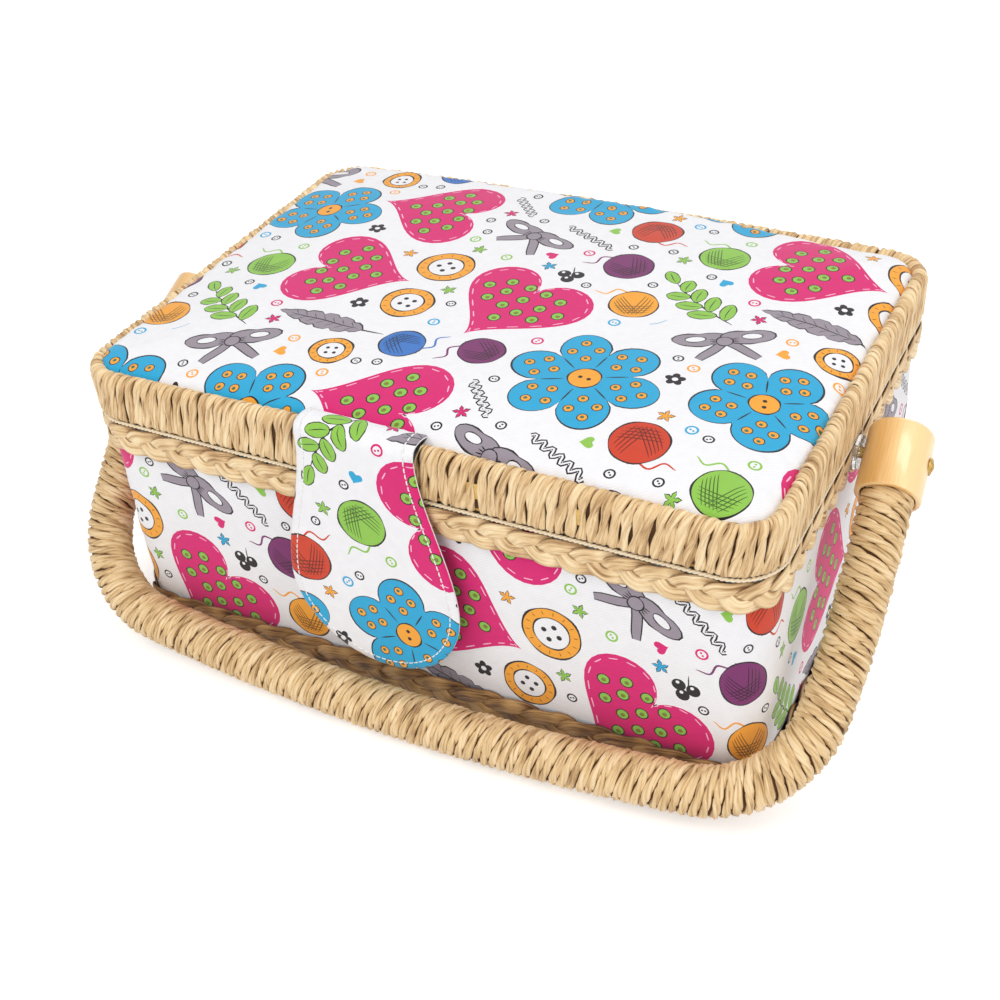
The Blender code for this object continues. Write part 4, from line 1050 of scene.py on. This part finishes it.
def lay_out_tile():
    """Fits the motifs into one repeat that joins its neighbours on all sides, without overlaps."""
    rng = random.Random(23)
    taken = np.zeros((TILE[0], TILE[1]), dtype=bool)
    placed = []
    for layers in motif_order():
        everything = np.concatenate([points for _, points in layers])
        low, high = everything.min(0) - 1.5, everything.max(0) + 1.5
        grid = np.stack(np.meshgrid(np.arange(low[0], high[0], 1.0), np.arange(low[1], high[1], 1.0)), -1).reshape(-1, 2)
        covered = np.zeros(len(grid), dtype=bool)
        for _, points in layers[:40]:
            covered |= inside_outline(grid, grown(points, 1.7))
        grid = grid[covered]
        for _ in range(500):
            x, y, turn = rng.uniform(0, TILE[0]), rng.uniform(0, TILE[1]), rng.uniform(0, 2 * math.pi)
            cells = moved([(None, grid)], x, y, turn)[0][1]
            column = np.floor(cells[:, 0]).astype(int) % TILE[0]
            row = np.floor(cells[:, 1]).astype(int) % TILE[1]
            if not taken[column, row].any():
                taken[column, row] = True
                placed.append(moved(layers, x, y, turn))
                break
    return placed


TILE_MOTIFS = lay_out_tile()


def print_over(low, high, shift, turn=0.0):
    """The repeat's motifs over a flat area in metres, as (colour, outline) layers."""
    corners = np.array([(low[0], low[1]), (high[0], low[1]), (high[0], high[1]), (low[0], high[1])]) / MM - shift
    spin = np.array([[math.cos(turn), math.sin(turn)], [-math.sin(turn), math.cos(turn)]])
    local = corners @ spin.T
    first = np.floor(local.min(0) / TILE).astype(int) - 1
    last = np.ceil(local.max(0) / TILE).astype(int) + 1
    layers = []
    for column in range(first[0], last[0] + 1):
        for row in range(first[1], last[1] + 1):
            for motif in TILE_MOTIFS:
                for colour, points in motif:
                    place = ((points + (column * TILE[0], row * TILE[1])) @ spin + shift) * MM
                    if (place.max(0) > low).all() and (place.min(0) < high).all():
                        layers.append((colour, place))
    return layers


def printed_mesh(name, domain, extra, low, high, shift, turn, to_surface, material, body, back=None):
    """A cloth piece with the print in its faces: flat domain, printed, then carried to its surface."""
    layers = print_over(np.array(low), np.array(high), np.array(shift), turn)
    coordinates = [tuple(point) for point in domain]
    outlines = [list(range(len(domain)))]
    colours = [WHITE_CLOTH]
    for colour, points in layers:
        start = len(coordinates)
        coordinates += [tuple(point) for point in points]
        outlines.append(list(range(start, start + len(points))))
        colours.append(colour)
    coordinates += [tuple(point) for point in extra]
    found = delaunay_2d_cdt([Vector(c) for c in coordinates], [], outlines, 1, 1e-6, True)
    flat = np.array([tuple(v) for v in found[0]])
    faces, hue = [], []
    for face, owners in zip(found[2], found[5]):
        if 0 in owners:
            faces.append(face)
            hue.append(colours[max(owners)])
    corners = np.array([flat[index] for face in faces for index in face])
    points = to_surface(flat)
    ink = np.repeat(np.array([(*colour, 1.0) for colour in hue]), [len(face) for face in faces], axis=0)
    obj = make_mesh(name, points, faces, material, None, None, ("cloth", corners))
    layer = obj.data.color_attributes.new(name="ink", type="FLOAT_COLOR", domain="CORNER")
    layer.data.foreach_set("color", ink.astype(np.float32).ravel())
    loose_vertices_out(obj)
    if body:
        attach(obj, body)
    return obj


def loose_vertices_out(obj):
    mesh = bmesh.new()
    mesh.from_mesh(obj.data)
    bmesh.ops.delete(mesh, geom=[v for v in mesh.verts if not v.link_faces], context="VERTS")
    mesh.to_mesh(obj.data)
    mesh.free()


def grid_points(low, high, step):
    x = np.arange(low[0], high[0] + step / 2, step)
    y = np.arange(low[1], high[1] + step / 2, step)
    grid = np.stack(np.meshgrid(x, y), -1)
    grid[::2, :, 0] += step / 2
    return grid.reshape(-1, 2)


def corner_distance(points, half_x, half_y, radius):
    """Signed distance inside a rounded rectangle, with the outward direction."""
    q = np.abs(points) - (half_x - radius, half_y - radius)
    outside = np.maximum(q, 0)
    reach = np.linalg.norm(outside, axis=1)
    distance = radius - reach - np.minimum(np.maximum(q[:, 0], q[:, 1]), 0)
    flat_side = np.where((q[:, :1] > q[:, 1:]), np.array([[1.0, 0.0]]), np.array([[0.0, 1.0]]))
    direction = np.where(reach[:, None] > 1e-9, outside / np.maximum(reach, 1e-9)[:, None], flat_side)
    return distance, direction * np.where(points >= 0, 1.0, -1.0)


def puckers(place, seed, waves, amount):
    """Small uneven waves along an edge, from its distance along the perimeter."""
    rng = np.random.default_rng(seed)
    total = sum(rng.uniform(0.5, 1.0) * np.sin(2 * math.pi * k * place / PERIMETER + rng.random() * 6.3) for k in waves)
    return amount * total / math.sqrt(len(waves))


def pad_top(flat):
    """Carries the flat lid cloth over the crowned foam and down inside the rim."""
    half_x, half_y, radius = HALF_W - PAD_INSET, HALF_D - PAD_INSET, CORNER_RADIUS - PAD_INSET
    distance, direction = corner_distance(flat, half_x, half_y, radius)
    inside = np.maximum(distance, 0)
    below = np.maximum(-distance, 0)
    plan = flat - direction * below[:, None]
    around = np.arctan2(plan[:, 1] / half_y, plan[:, 0] / half_x) / (2 * math.pi) * PERIMETER
    edge = np.exp(-inside / (7 * MM))
    swell = np.sin(math.pi / 2 * np.minimum(1.0, inside / PAD_SHOULDER)) ** 0.7
    wave = puckers(around, 5, (19, 31, 43, 57, 71, 97), 0.42 * MM) * edge
    soft = 0.35 * MM * np.sin(flat[:, 0] * 61 + 1.0) * np.sin(flat[:, 1] * 83 + flat[:, 0] * 20) * (1 - edge)
    roll = 1.7 * MM * np.exp(-inside / (1.3 * MM))
    towards_right = np.clip((plan[:, 0] / HALF_W - 0.25) / 0.5, 0, 1)
    puffed_back = np.clip(direction[:, 1], 0, 1) * (1 - 0.9 * towards_right)
    puffed = np.maximum(puffed_back, 0.75 * np.clip(-direction[:, 0], 0, 1)) * np.exp(-inside / (5 * MM))
    height = PAD_EDGE + lift(plan[:, 0]) + PAD_CROWN * swell + wave + soft - roll - below + 3.0 * MM * puffed
    fade = np.clip(1 - below / PAD_SKIRT, 0, 1)
    plan = plan + direction * (1.5 * MM * puffed * fade)[:, None]
    return np.concatenate([plan, height[:, None]], -1)


def lid_pad(material, under):
    """The padded lid top: printed cover over its foam, closed underneath."""
    count = 220
    drawn_in = PAD_INSET - PAD_SKIRT
    size = (HALF_W - drawn_in, HALF_D - drawn_in, CORNER_RADIUS - drawn_in)
    around = 4 * (size[0] + size[1] - 2 * size[2]) + 2 * math.pi * size[2]
    domain = outline_at(np.arange(count) * around / count, *size)[0]
    extra = [grid_points((-HALF_W, -HALF_D), (HALF_W, HALF_D), 3.2 * MM)]
    for step in (0.0, 0.4, 0.8, 1.3, 1.9, 2.9, 4.2, 5.8):
        inset = PAD_INSET + step * MM
        shape = (HALF_W - inset, HALF_D - inset, CORNER_RADIUS - inset)
        length = 4 * (shape[0] + shape[1] - 2 * shape[2]) + 2 * math.pi * shape[2]
        extra.append(outline_at(np.arange(320) * length / 320, *shape)[0])
    extra = np.concatenate(extra)
    reach = np.array((size[0], size[1]))
    cover = printed_mesh("lid_pad", domain, extra, -reach, reach, (14, 9), 0.35, pad_top, material, None)
    close_below(cover, SEAM + 4.4 * MM, under)
    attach(cover, "lid")
    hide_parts("lid_cover", "lid_foam")


def close_below(obj, height, under):
    """Runs the open edge straight down and closes it with a flat underside."""
    obj.data.materials.append(under)
    mesh = bmesh.new()
    mesh.from_mesh(obj.data)
    ink = mesh.loops.layers.float_color["ink"]
    rim = [edge for edge in mesh.edges if edge.is_boundary]
    made = bmesh.ops.extrude_edge_only(mesh, edges=rim)["geom"]
    for vert in (item for item in made if isinstance(item, bmesh.types.BMVert)):
        vert.co.z = height
    sides = [item for item in made if isinstance(item, bmesh.types.BMFace)]
    closing = [item for item in made if isinstance(item, bmesh.types.BMEdge) and item.is_boundary]
    lids = bmesh.ops.contextual_create(mesh, geom=closing)["faces"]
    for face in list(sides) + list(lids):
        for loop in face.loops:
            loop[ink] = (*WHITE_CLOTH, 1)
    for face in lids:
        face.material_index = 1
        face.smooth = False
    bmesh.ops.recalc_face_normals(mesh, faces=mesh.faces)
    mesh.to_mesh(obj.data)
    mesh.free()


def wall_cloth(flat):
    """Carries the flat body cloth round the four walls; its seam is in the middle of the back."""
    half = PERIMETER / 2
    around = np.mod(flat[:, 0] - half, PERIMETER)
    points, normal, _ = outline_at(around)
    height = flat[:, 1]
    bow = np.sin(math.pi * np.clip((height - 14 * MM) / (68 * MM), 0, 1))
    corner = np.exp(-((np.abs(np.abs(points[:, 0]) - HALF_W + 9 * MM) + np.abs(np.abs(points[:, 1]) - HALF_D + 9 * MM))
                      / (16 * MM)) ** 2)
    soft = 0.16 * MM * np.sin(around * 95 + 3 * np.sin(height * 60)) * bow
    fold = 0.22 * MM * np.sin(around * 420 + 9 * np.sin(height * 45)) * corner * bow
    inset = wall_line(COVER_INSET, height) - 0.35 * MM * bow - soft - fold
    plan = points - normal * inset[:, None]
    return np.concatenate([plan, height[:, None]], -1)


def body_cloth(material):
    """Printed cloth glued round the walls, behind the two plaits."""
    low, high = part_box("body_cover")
    bottom, top = low[2], high[2]
    count = 300
    across = np.linspace(0, PERIMETER, count)
    edge = [(x, bottom) for x in across] + [(x, top) for x in across[::-1]]
    extra = grid_points((2 * MM, bottom + 2 * MM), (PERIMETER - 2 * MM, top - 2 * MM), 4.0 * MM)
    cover = printed_mesh("body_cloth", np.array(edge), extra, (0, bottom), (PERIMETER, top), (9, 31), 0.0, wall_cloth,
                         material, "basket")
    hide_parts("body_cover")


def tab_line():
    """The tab's outer face in section, from its fixed end over the rim and down the front: (y, z) points."""
    over = CREST + RIM_BOW + GAP + 2.2 * MM
    front = TAB_PLANE - 1.1 * MM
    points = [(-83.4 * MM, over - 1.3 * MM), (-85.5 * MM, over - 0.5 * MM), (-88.0 * MM, over),
              (-91.0 * MM, over - 0.1 * MM), (-93.4 * MM, over - 1.0 * MM), (front + 0.3 * MM, over - 3.0 * MM),
              (front, over - 6.0 * MM), (front, 95 * MM), (front, 75 * MM), (front, 50 * MM),
              (front, 30 * MM), (front, 18.8 * MM)]
    return smooth_path(points, 400)


TAB_LINE = tab_line()
TAB_RUN = np.concatenate([[0], np.cumsum(np.linalg.norm(np.diff(TAB_LINE, axis=0), axis=1))])


def tab_half_width(height):
    end_centre = 18.8 * MM + 33.5 * MM
    share = np.clip((TAB_AXIS_Z - height) / (TAB_AXIS_Z - end_centre), 0, 1)
    ease = share * share * (3 - 2 * share)
    half = 22.5 * MM + 11.0 * MM * ease
    below = np.clip((end_centre - height) / (33.5 * MM), 0, 1)
    return half * np.sqrt(1 - below ** 2)


def tab_point(flat, depth):
    """A place on the tab, from across and along its cloth, at a depth behind its outer face."""
    y = np.interp(flat[:, 1], TAB_RUN, TAB_LINE[:, 0])
    z = np.interp(flat[:, 1], TAB_RUN, TAB_LINE[:, 1])
    slope_y = np.interp(flat[:, 1], TAB_RUN, np.gradient(TAB_LINE[:, 0], TAB_RUN))
    slope_z = np.interp(flat[:, 1], TAB_RUN, np.gradient(TAB_LINE[:, 1], TAB_RUN))
    down = np.clip((105 * MM - z) / (80 * MM), 0, 1) * (np.abs(y) > 0.09)
    across = flat[:, 0] / (33.5 * MM)
    curl_out = (0.9 * MM * across ** 2 * down + 1.3 * MM * down ** 3 * (0.6 + 0.4 * across))
    ripple = 0.25 * MM * np.sin(flat[:, 1] * 120 + 1.4 * across) * np.abs(across) * down
    shift = depth - curl_out - ripple
    return np.stack([TAB_CENTRE + flat[:, 0], y - slope_z * shift, z + slope_y * shift], -1)


def tab_outline(margin, count=46):
    """The tab's flat outline, drawn in by a margin: up one side, round the end and back."""
    run = np.linspace(0 + margin * 0.3, TAB_RUN[-1] - margin, 90)
    height = np.interp(run, TAB_RUN, TAB_LINE[:, 1])
    height = np.where(run < 14 * MM, TAB_AXIS_Z, height)
    end = 18.8 * MM + 33.5 * MM
    side = height > end
    half = tab_half_width(height[side]) - margin
    rows = [(-h, r) for h, r in zip(half, run[side])]
    start_run = np.interp(-end, -TAB_LINE[100:, 1], TAB_RUN[100:])
    radius = 33.5 * MM - margin
    for k in range(count + 1):
        angle = math.pi * k / count
        rows.append((-radius * math.cos(angle), start_run + radius * math.sin(angle)))
    rows += [(h, r) for h, r in zip(half[::-1], run[side][::-1])]
    return np.array(rows)[::-1]


def tab(material, thread):
    """The tab: two printed cloths on a soft core, turned in at the edge, with a line of stitches."""
    edge = tab_outline(0.0)
    inner = tab_outline(0.9 * MM)
    reach = 34 * MM
    extra = grid_points((-reach, 0), (reach, TAB_RUN[-1]), 2.4 * MM)
    low, high = (-reach, 0), (reach, TAB_RUN[-1])

    def front(flat):
        distance = nearest_edge(flat, edge)
        return tab_point(flat, 0.75 * MM * (1 - np.clip(distance / (1.6 * MM), 0, 1) ** 0.5))

    def rear(flat):
        distance = nearest_edge(flat, edge)
        return tab_point(flat, 2.0 * MM - 0.75 * MM * (1 - np.clip(distance / (1.6 * MM), 0, 1) ** 0.5))

    extra = np.concatenate([extra, inner[::2], tab_outline(0.35 * MM)[::2]])
    face = printed_mesh("tab_front", edge, extra, low, high, (-60, 20), 0.0, front, material, None)
    lining = printed_mesh("tab_back", edge, extra, low, high, (30, 60), 0.0, rear, material, None)
    lining.data.flip_normals()
    join_halves(face, lining)
    face.name = "tab_cloth"
    stitches = topstitch(thread)
    for piece in (face, stitches):
        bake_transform(piece)
    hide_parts("tab_root", "tab_flap")


def nearest_edge(points, edge):
    """Distance from each point to a closed outline."""
    start, end = edge, np.roll(edge, -1, 0)
    run = end - start
    squared = np.maximum(np.sum(run ** 2, axis=1), 1e-18)
    best = np.full(len(points), 1.0)
    for first in range(0, len(points), 2000):
        part = points[first:first + 2000]
        share = np.clip(np.sum((part[:, None] - start) * run, -1) / squared, 0, 1)
        gap = np.linalg.norm(part[:, None] - start - share[..., None] * run, axis=-1)
        best[first:first + 2000] = gap.min(1)
    return best


def join_halves(front, rear):
    """Joins two printed faces into one closed piece along their shared edge."""
    mesh = bmesh.new()
    mesh.from_mesh(front.data)
    mesh.from_mesh(rear.data)
    ink = mesh.loops.layers.float_color["ink"]
    rim = [edge for edge in mesh.edges if edge.is_boundary]
    made = bmesh.ops.bridge_loops(mesh, edges=rim)["faces"]
    for face in made:
        face.smooth = True
        for loop in face.loops:
            loop[ink] = (*WHITE_CLOTH, 1)
    bmesh.ops.recalc_face_normals(mesh, faces=mesh.faces)
    mesh.to_mesh(front.data)
    mesh.free()
    bpy.data.objects.remove(rear, do_unlink=True)


def topstitch(thread):
    """Short white stitches along the tab, a little in from its edge."""
    line = tab_outline(3.2 * MM, 60)
    run = np.concatenate([[0], np.cumsum(np.linalg.norm(np.diff(line, axis=0), axis=1))])
    pitch, share = 2.4 * MM, 0.72
    count = int(run[-1] / pitch)
    centres = []
    for k in range(count):
        places = (k + np.linspace(0, share, 7)) * pitch
        flat = np.stack([np.interp(places, run, line[:, 0]), np.interp(places, run, line[:, 1])], -1)
        lift_off = -0.24 * MM * np.sin(np.linspace(0, math.pi, 7)) + 0.10 * MM
        centres.append(tab_point(flat, lift_off))
    centres = np.array(centres)
    outward = np.zeros(centres.shape)
    outward[..., 1] = -1
    near_top = centres[..., 2] > 110 * MM
    outward[near_top] = (0, -0.2, 1)
    width = np.full(centres.shape[:2], 0.23 * MM)
    swept = sweep(centres, outward, width, width, 3, 0.1, 0.0, 6)
    return strands("tab_topstitch", swept, np.full(count, 0.5), width, thread, None)


def loft_sheet(name, rows, material, body, closed=True, uv_map="cloth"):
    """A sheet from rows of points; the rows run round the piece."""
    rows = np.asarray(rows, dtype=float)
    count, steps = rows.shape[:2]
    index = np.arange(count * steps).reshape(count, steps)
    here = index if closed else index[:, :-1]
    beside = np.roll(index, -1, 1) if closed else index[:, 1:]
    faces = np.stack([here[:-1], beside[:-1], beside[1:], here[1:]], -1).reshape(-1, 4)
    around = np.concatenate([[0], np.cumsum(np.linalg.norm(np.diff(rows[0], axis=0), axis=1))])
    along = np.concatenate([[0], np.cumsum(np.linalg.norm(np.diff(rows[:, 0], axis=0), axis=1))])
    places = np.stack([np.tile(around, (count, 1)), np.tile(along[:, None], (1, steps))], -1).reshape(-1, 2)
    return make_mesh(name, rows.reshape(-1, 3), faces.tolist(), material, body, None,
                     (uv_map, places[faces.ravel()]))


def ring_row(inset, height, count=240, lifted=False):
    size = (HALF_W - inset, HALF_D - inset, max(CORNER_RADIUS - inset, 1 * MM))
    length = 4 * (size[0] + size[1] - 2 * size[2]) + 2 * math.pi * size[2]
    plan = outline_at(np.arange(count) * length / count, *size)[0]
    rise = height + (lift(plan[:, 0]) if lifted else 0)
    return np.concatenate([plan, (rise * np.ones(count))[:, None]], -1)


def linings(cloth, underside):
    """Cloth inside the box and lid, the padded floor, the lid's inner pad and the flat underside."""
    rows = []
    for inset, height in ((3.4, 95.1), (3.9, 95.33), (5.2, 95.33), (6.4, 95.2), (6.9, 94.6), (7.0, 92.0), (7.0, 80.0),
                          (7.0, 60.0), (7.0, 40.0), (7.0, 20.0), (7.0, 8.0), (7.0, 4.5)):
        rows.append(ring_row(wall_line(inset * MM, height * MM) if inset >= 6.9 else inset * MM, height * MM))
    for row in rows[5:-1]:
        place = np.arange(len(row)) / len(row)
        row[:, :2] *= (1 - 0.0015 * np.sin(place * 2 * math.pi * 37 + row[0, 2] * 90))[:, None]
    lining = loft_sheet("inside_lining", rows, cloth, "basket")
    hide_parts("body_lining")
    floor = cushion("floor_pad", 8.4 * MM, 4.4 * MM, 6.4 * MM, 2.4 * MM, 1, cloth, "basket")
    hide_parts("base_pad")
    inner = cushion("lid_inner_pad", 6.8 * MM, 96.6 * MM, 95.7 * MM, 1.9 * MM, -1, cloth, "lid")
    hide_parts("lid_lining")
    rows = [ring_row(3.4 * MM, 0.75 * MM), ring_row(3.35 * MM, 0.3 * MM), ring_row(3.7 * MM, 0.05 * MM)]
    for inset in (9, 20, 40, 60, 80, 89):
        rows.append(ring_row(inset * MM, 0.04 * MM))
    foot = loft_sheet("underside_cloth", rows, underside, "basket")
    centre_fill(foot)
    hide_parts("base_cover")


def centre_fill(obj):
    mesh = bmesh.new()
    mesh.from_mesh(obj.data)
    mesh.verts.ensure_lookup_table()
    middle = [e for e in mesh.edges
              if e.is_boundary and all(abs(v.co.x) < HALF_W / 2 and abs(v.co.y) < HALF_D / 2 for v in e.verts)]
    bmesh.ops.contextual_create(mesh, geom=middle)
    bmesh.ops.recalc_face_normals(mesh, faces=mesh.faces)
    mesh.to_mesh(obj.data)
    mesh.free()
    obj.data.shade_smooth()


def cushion(name, inset, flat_height, edge_height, crown, way, material, body):
    """A thin pad with a crowned face, a rounded edge and a flat back."""
    rows = [ring_row(84 * MM, flat_height), ring_row(inset + 1 * MM, flat_height), ring_row(inset, (flat_height * 0.6
            + edge_height * 0.4))]
    for step in (0.0, 0.6, 1.6, 4, 8, 14, 24, 40, 60, 78):
        swell = math.sin(math.pi / 2 * min(1.0, step * MM / (26 * MM))) ** 0.8
        edge_drop = 0.5 * MM * math.exp(-step / 1.2)
        row = ring_row(inset + 0.5 * MM + step * MM, edge_height + way * (crown * swell - edge_drop))
        rows.append(row)
    pad = loft_sheet(name, rows, material, body)
    mesh = bmesh.new()
    mesh.from_mesh(pad.data)
    for high in (True, False):
        ends = [e for e in mesh.edges if e.is_boundary and (abs(e.verts[0].co.z - flat_height) < 1e-6) == high]
        bmesh.ops.contextual_create(mesh, geom=ends)
    bmesh.ops.recalc_face_normals(mesh, faces=mesh.faces)
    mesh.to_mesh(pad.data)
    mesh.free()
    pad.data.shade_smooth()
    return pad


def back_hinge(material, thread):
    """The cloth strip across the back seam, sewn along both edges."""
    low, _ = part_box("hinge_strip_body")
    _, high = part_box("hinge_strip_lid")
    heights = np.linspace(low[2], high[2], 21)
    rows = []
    across = np.linspace(low[0], high[0], 91)
    for height in heights:
        share = (height - heights[0]) / (heights[-1] - heights[0])
        bulge = 0.12 * MM * np.sin(across * 240) * math.sin(math.pi * share)
        depth = high[1] - 0.25 * MM * math.exp(-((share - 0.5) / 0.08) ** 2) + bulge - 0.15 * MM
        rows.append(np.stack([across[::-1], depth[::-1], np.full(91, height)], -1))
    back = [row - (0, 0.45 * MM, 0) for row in rows[::-1]]
    strip = loft_sheet("back_hinge_cloth", rows + back + rows[:1], material, None, closed=False)
    centres = []
    for height in (heights[0] + 1.6 * MM, heights[-1] - 1.6 * MM):
        for k in range(66):
            x = low[0] + 1.5 * MM + (k + np.linspace(0, 0.7, 6)) * 2.7 * MM
            y = high[1] - 0.12 * MM + 0.22 * MM * np.sin(np.linspace(0, math.pi, 6))
            centres.append(np.stack([x, y, np.full(6, height)], -1))
    centres = np.array(centres)
    outward = np.zeros(centres.shape)
    outward[..., 1] = 1
    width = np.full(centres.shape[:2], 0.28 * MM)
    stitches = strands("back_hinge_stitches", sweep(centres, outward, width, width, 3, 0.1, 0.0, 6),
                       np.full(len(centres), 0.5), width, thread, None)
    for piece in (strip, stitches):
        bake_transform(piece)
    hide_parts("hinge_strip_body", "hinge_strip_lid")


def camera():
    data = bpy.data.cameras.new("camera")
    data.lens = 54.108
    data.sensor_width = 36
    data.clip_start = 0.01
    obj = bpy.data.objects.new("camera", data)
    bpy.context.collection.objects.link(obj)
    place = Vector((229.538, -413.584, 386.237)) * MM
    forward = Vector((-0.40250179, 0.68901584, -0.60270182))
    right = forward.cross(Vector((0, 0, 1))).normalized()
    up = right.cross(forward)
    roll = math.radians(-5.15987)
    tilted = math.cos(roll) * right + math.sin(roll) * up
    upright = tilted.cross(forward)
    turn = Matrix((tilted, upright, -forward)).transposed().to_4x4()
    obj.matrix_world = Matrix.Translation(place) @ turn
    bpy.context.scene.camera = obj


def area_light(name, place, target, size, power, length=None):
    """A soft light: a disc, or a rectangle when a length is given."""
    data = bpy.data.lights.new(name, "AREA")
    data.shape = "RECTANGLE" if length else "DISK"
    data.size = size
    data.size_y = length or size
    data.energy = power
    obj = bpy.data.objects.new(name, data)
    bpy.context.collection.objects.link(obj)
    obj.location = place
    obj.rotation_euler = (Vector(target) - Vector(place)).to_track_quat("-Z", "Y").to_euler()


def seen_directly(tree):
    """1 for rays from the camera, a gloss or clear plastic, and 0 for those that light the object."""
    path = tree.nodes.new("ShaderNodeLightPath")
    total = path.outputs["Is Camera Ray"]
    for name in ("Is Glossy Ray", "Is Transmission Ray"):
        most = tree.nodes.new("ShaderNodeMath")
        most.operation = "MAXIMUM"
        tree.links.new(total, most.inputs[0])
        tree.links.new(path.outputs[name], most.inputs[1])
        total = most.outputs["Value"]
    return total


def studio():
    """Soft light in a white room, with a pale floor."""
    scene = bpy.context.scene
    scene.view_settings.view_transform = "Standard"
    world = bpy.data.worlds.new("studio")
    scene.world = world
    world.use_nodes = True
    tree = world.node_tree
    background = tree.nodes["Background"]
    background.inputs["Color"].default_value = (1, 1, 1, 1)
    background.inputs["Strength"].default_value = 0.50
    seen = tree.nodes.new("ShaderNodeBackground")
    seen.inputs["Strength"].default_value = 1.0
    seen.inputs["Color"].default_value = (1, 1, 1, 1)
    mix = tree.nodes.new("ShaderNodeMixShader")
    tree.links.new(seen_directly(tree), mix.inputs["Fac"])
    tree.links.new(background.outputs["Background"], mix.inputs[1])
    tree.links.new(seen.outputs["Background"], mix.inputs[2])
    tree.links.new(mix.outputs["Shader"], tree.nodes["World Output"].inputs["Surface"])
    middle = (0, 0, 0.06)
    area_light("key", (-0.55, -0.75, 1.25), middle, 0.9, 6.2)
    area_light("front", (0.1, -1.3, 0.45), middle, 0.9, 3.6)
    area_light("right", (1.15, -0.35, 0.75), middle, 0.8, 4)
    area_light("back", (0.1, 1.1, 0.9), middle, 0.8, 3)
    area_light("overhead", (0.59, 0.08, 1.2), middle, 0.24, 3.3, 0.8)
    floor = Nodes("studio_floor", 0.9)
    floor.shader.inputs["Base Color"].default_value = (0.86, 0.86, 0.86, 1)
    floor.shader.inputs["Emission Color"].default_value = (1, 1, 1, 1)
    share = floor.math("MULTIPLY", seen_directly(floor.tree), FLOOR_GLOW)
    floor.link(share, floor.shader.inputs["Emission Strength"])
    size = 3.0
    corners = [(-size, -size, -0.0004), (size, -size, -0.0004), (size, size, -0.0004), (-size, size, -0.0004)]
    plane = make_mesh("floor", corners, [(0, 1, 2, 3)], floor.material, None, smooth=False)


def main():
    camera()
    studio()
    straw = straw_material("raffia", STRAW_LIGHT, STRAW_MID, STRAW_DARK, 0.15)
    warm = straw_material("handle_raffia", srgb(240, 213, 169), srgb(218, 184, 131), srgb(156, 117, 73), 0.15)
    # Base plait: darker straw, with painted shade for the handle's shadow over it.
    darker_straw_and_painted_shade = straw_material("shaded_straw", srgb(208, 168, 112), srgb(160, 120, 72), srgb(92, 62, 34))
    printed = print_material()
    thread = plain_cloth_material("white_thread", srgb(246, 245, 243), 0.6)
    cream = plain_cloth_material("cream_cloth", srgb(238, 230, 214))
    piping = plain_cloth_material("cord_cotton", srgb(240, 222, 190), 0.7)
    wood = board_material("yellow_wood", srgb(222, 180, 96))
    card = board_material("grey_board", srgb(168, 158, 142))
    steel = metal_material("nickel_steel", srgb(196, 196, 198), 0.35)
    brass = metal_material("aged_brass", srgb(196, 160, 92), 0.34)
    # Painted shade: a dark board for the sheets under the strands.
    painted_hollow_shade = board_material("shaded_hollow", PAINTED_SLIT_SHADE)
    rim_winding(straw)
    # Wood colour, made lighter than the frame's as painted light against the shade in the narrow slits.
    rim_underlay(painted_hollow_shade, board_material("strip_wood", srgb(238, 198, 112)))
    plait("top_plait", "top_braid", BRAID_LOW[2], BRAID_HIGH[2] - BRAID_LOW[2], 1.05 * MM, 26, straw, painted_hollow_shade)
    plait("base_plait", "base_braid", BASE_LOW[2], BASE_HIGH[2] - BASE_LOW[2], 1.1 * MM, 20, darker_straw_and_painted_shade, painted_hollow_shade,
          True, 8)
    seam_cord(piping)
    handle_winding(warm, painted_hollow_shade)
    sleeves_and_pivots(sleeve_material(), brass, steel, clear_material())
    lid_pad(printed, cream)
    body_cloth(printed)
    tab(printed, thread)
    back_hinge(cream, thread)
    linings(cream, cream)
    for node, material in (("lid_frame", wood), ("lid_board", card), ("base_board", card), ("body_wall", card),
                           ("handle_core", wood), ("snap_stud", steel), ("snap_socket", steel)):
        dress(node, material)


main()
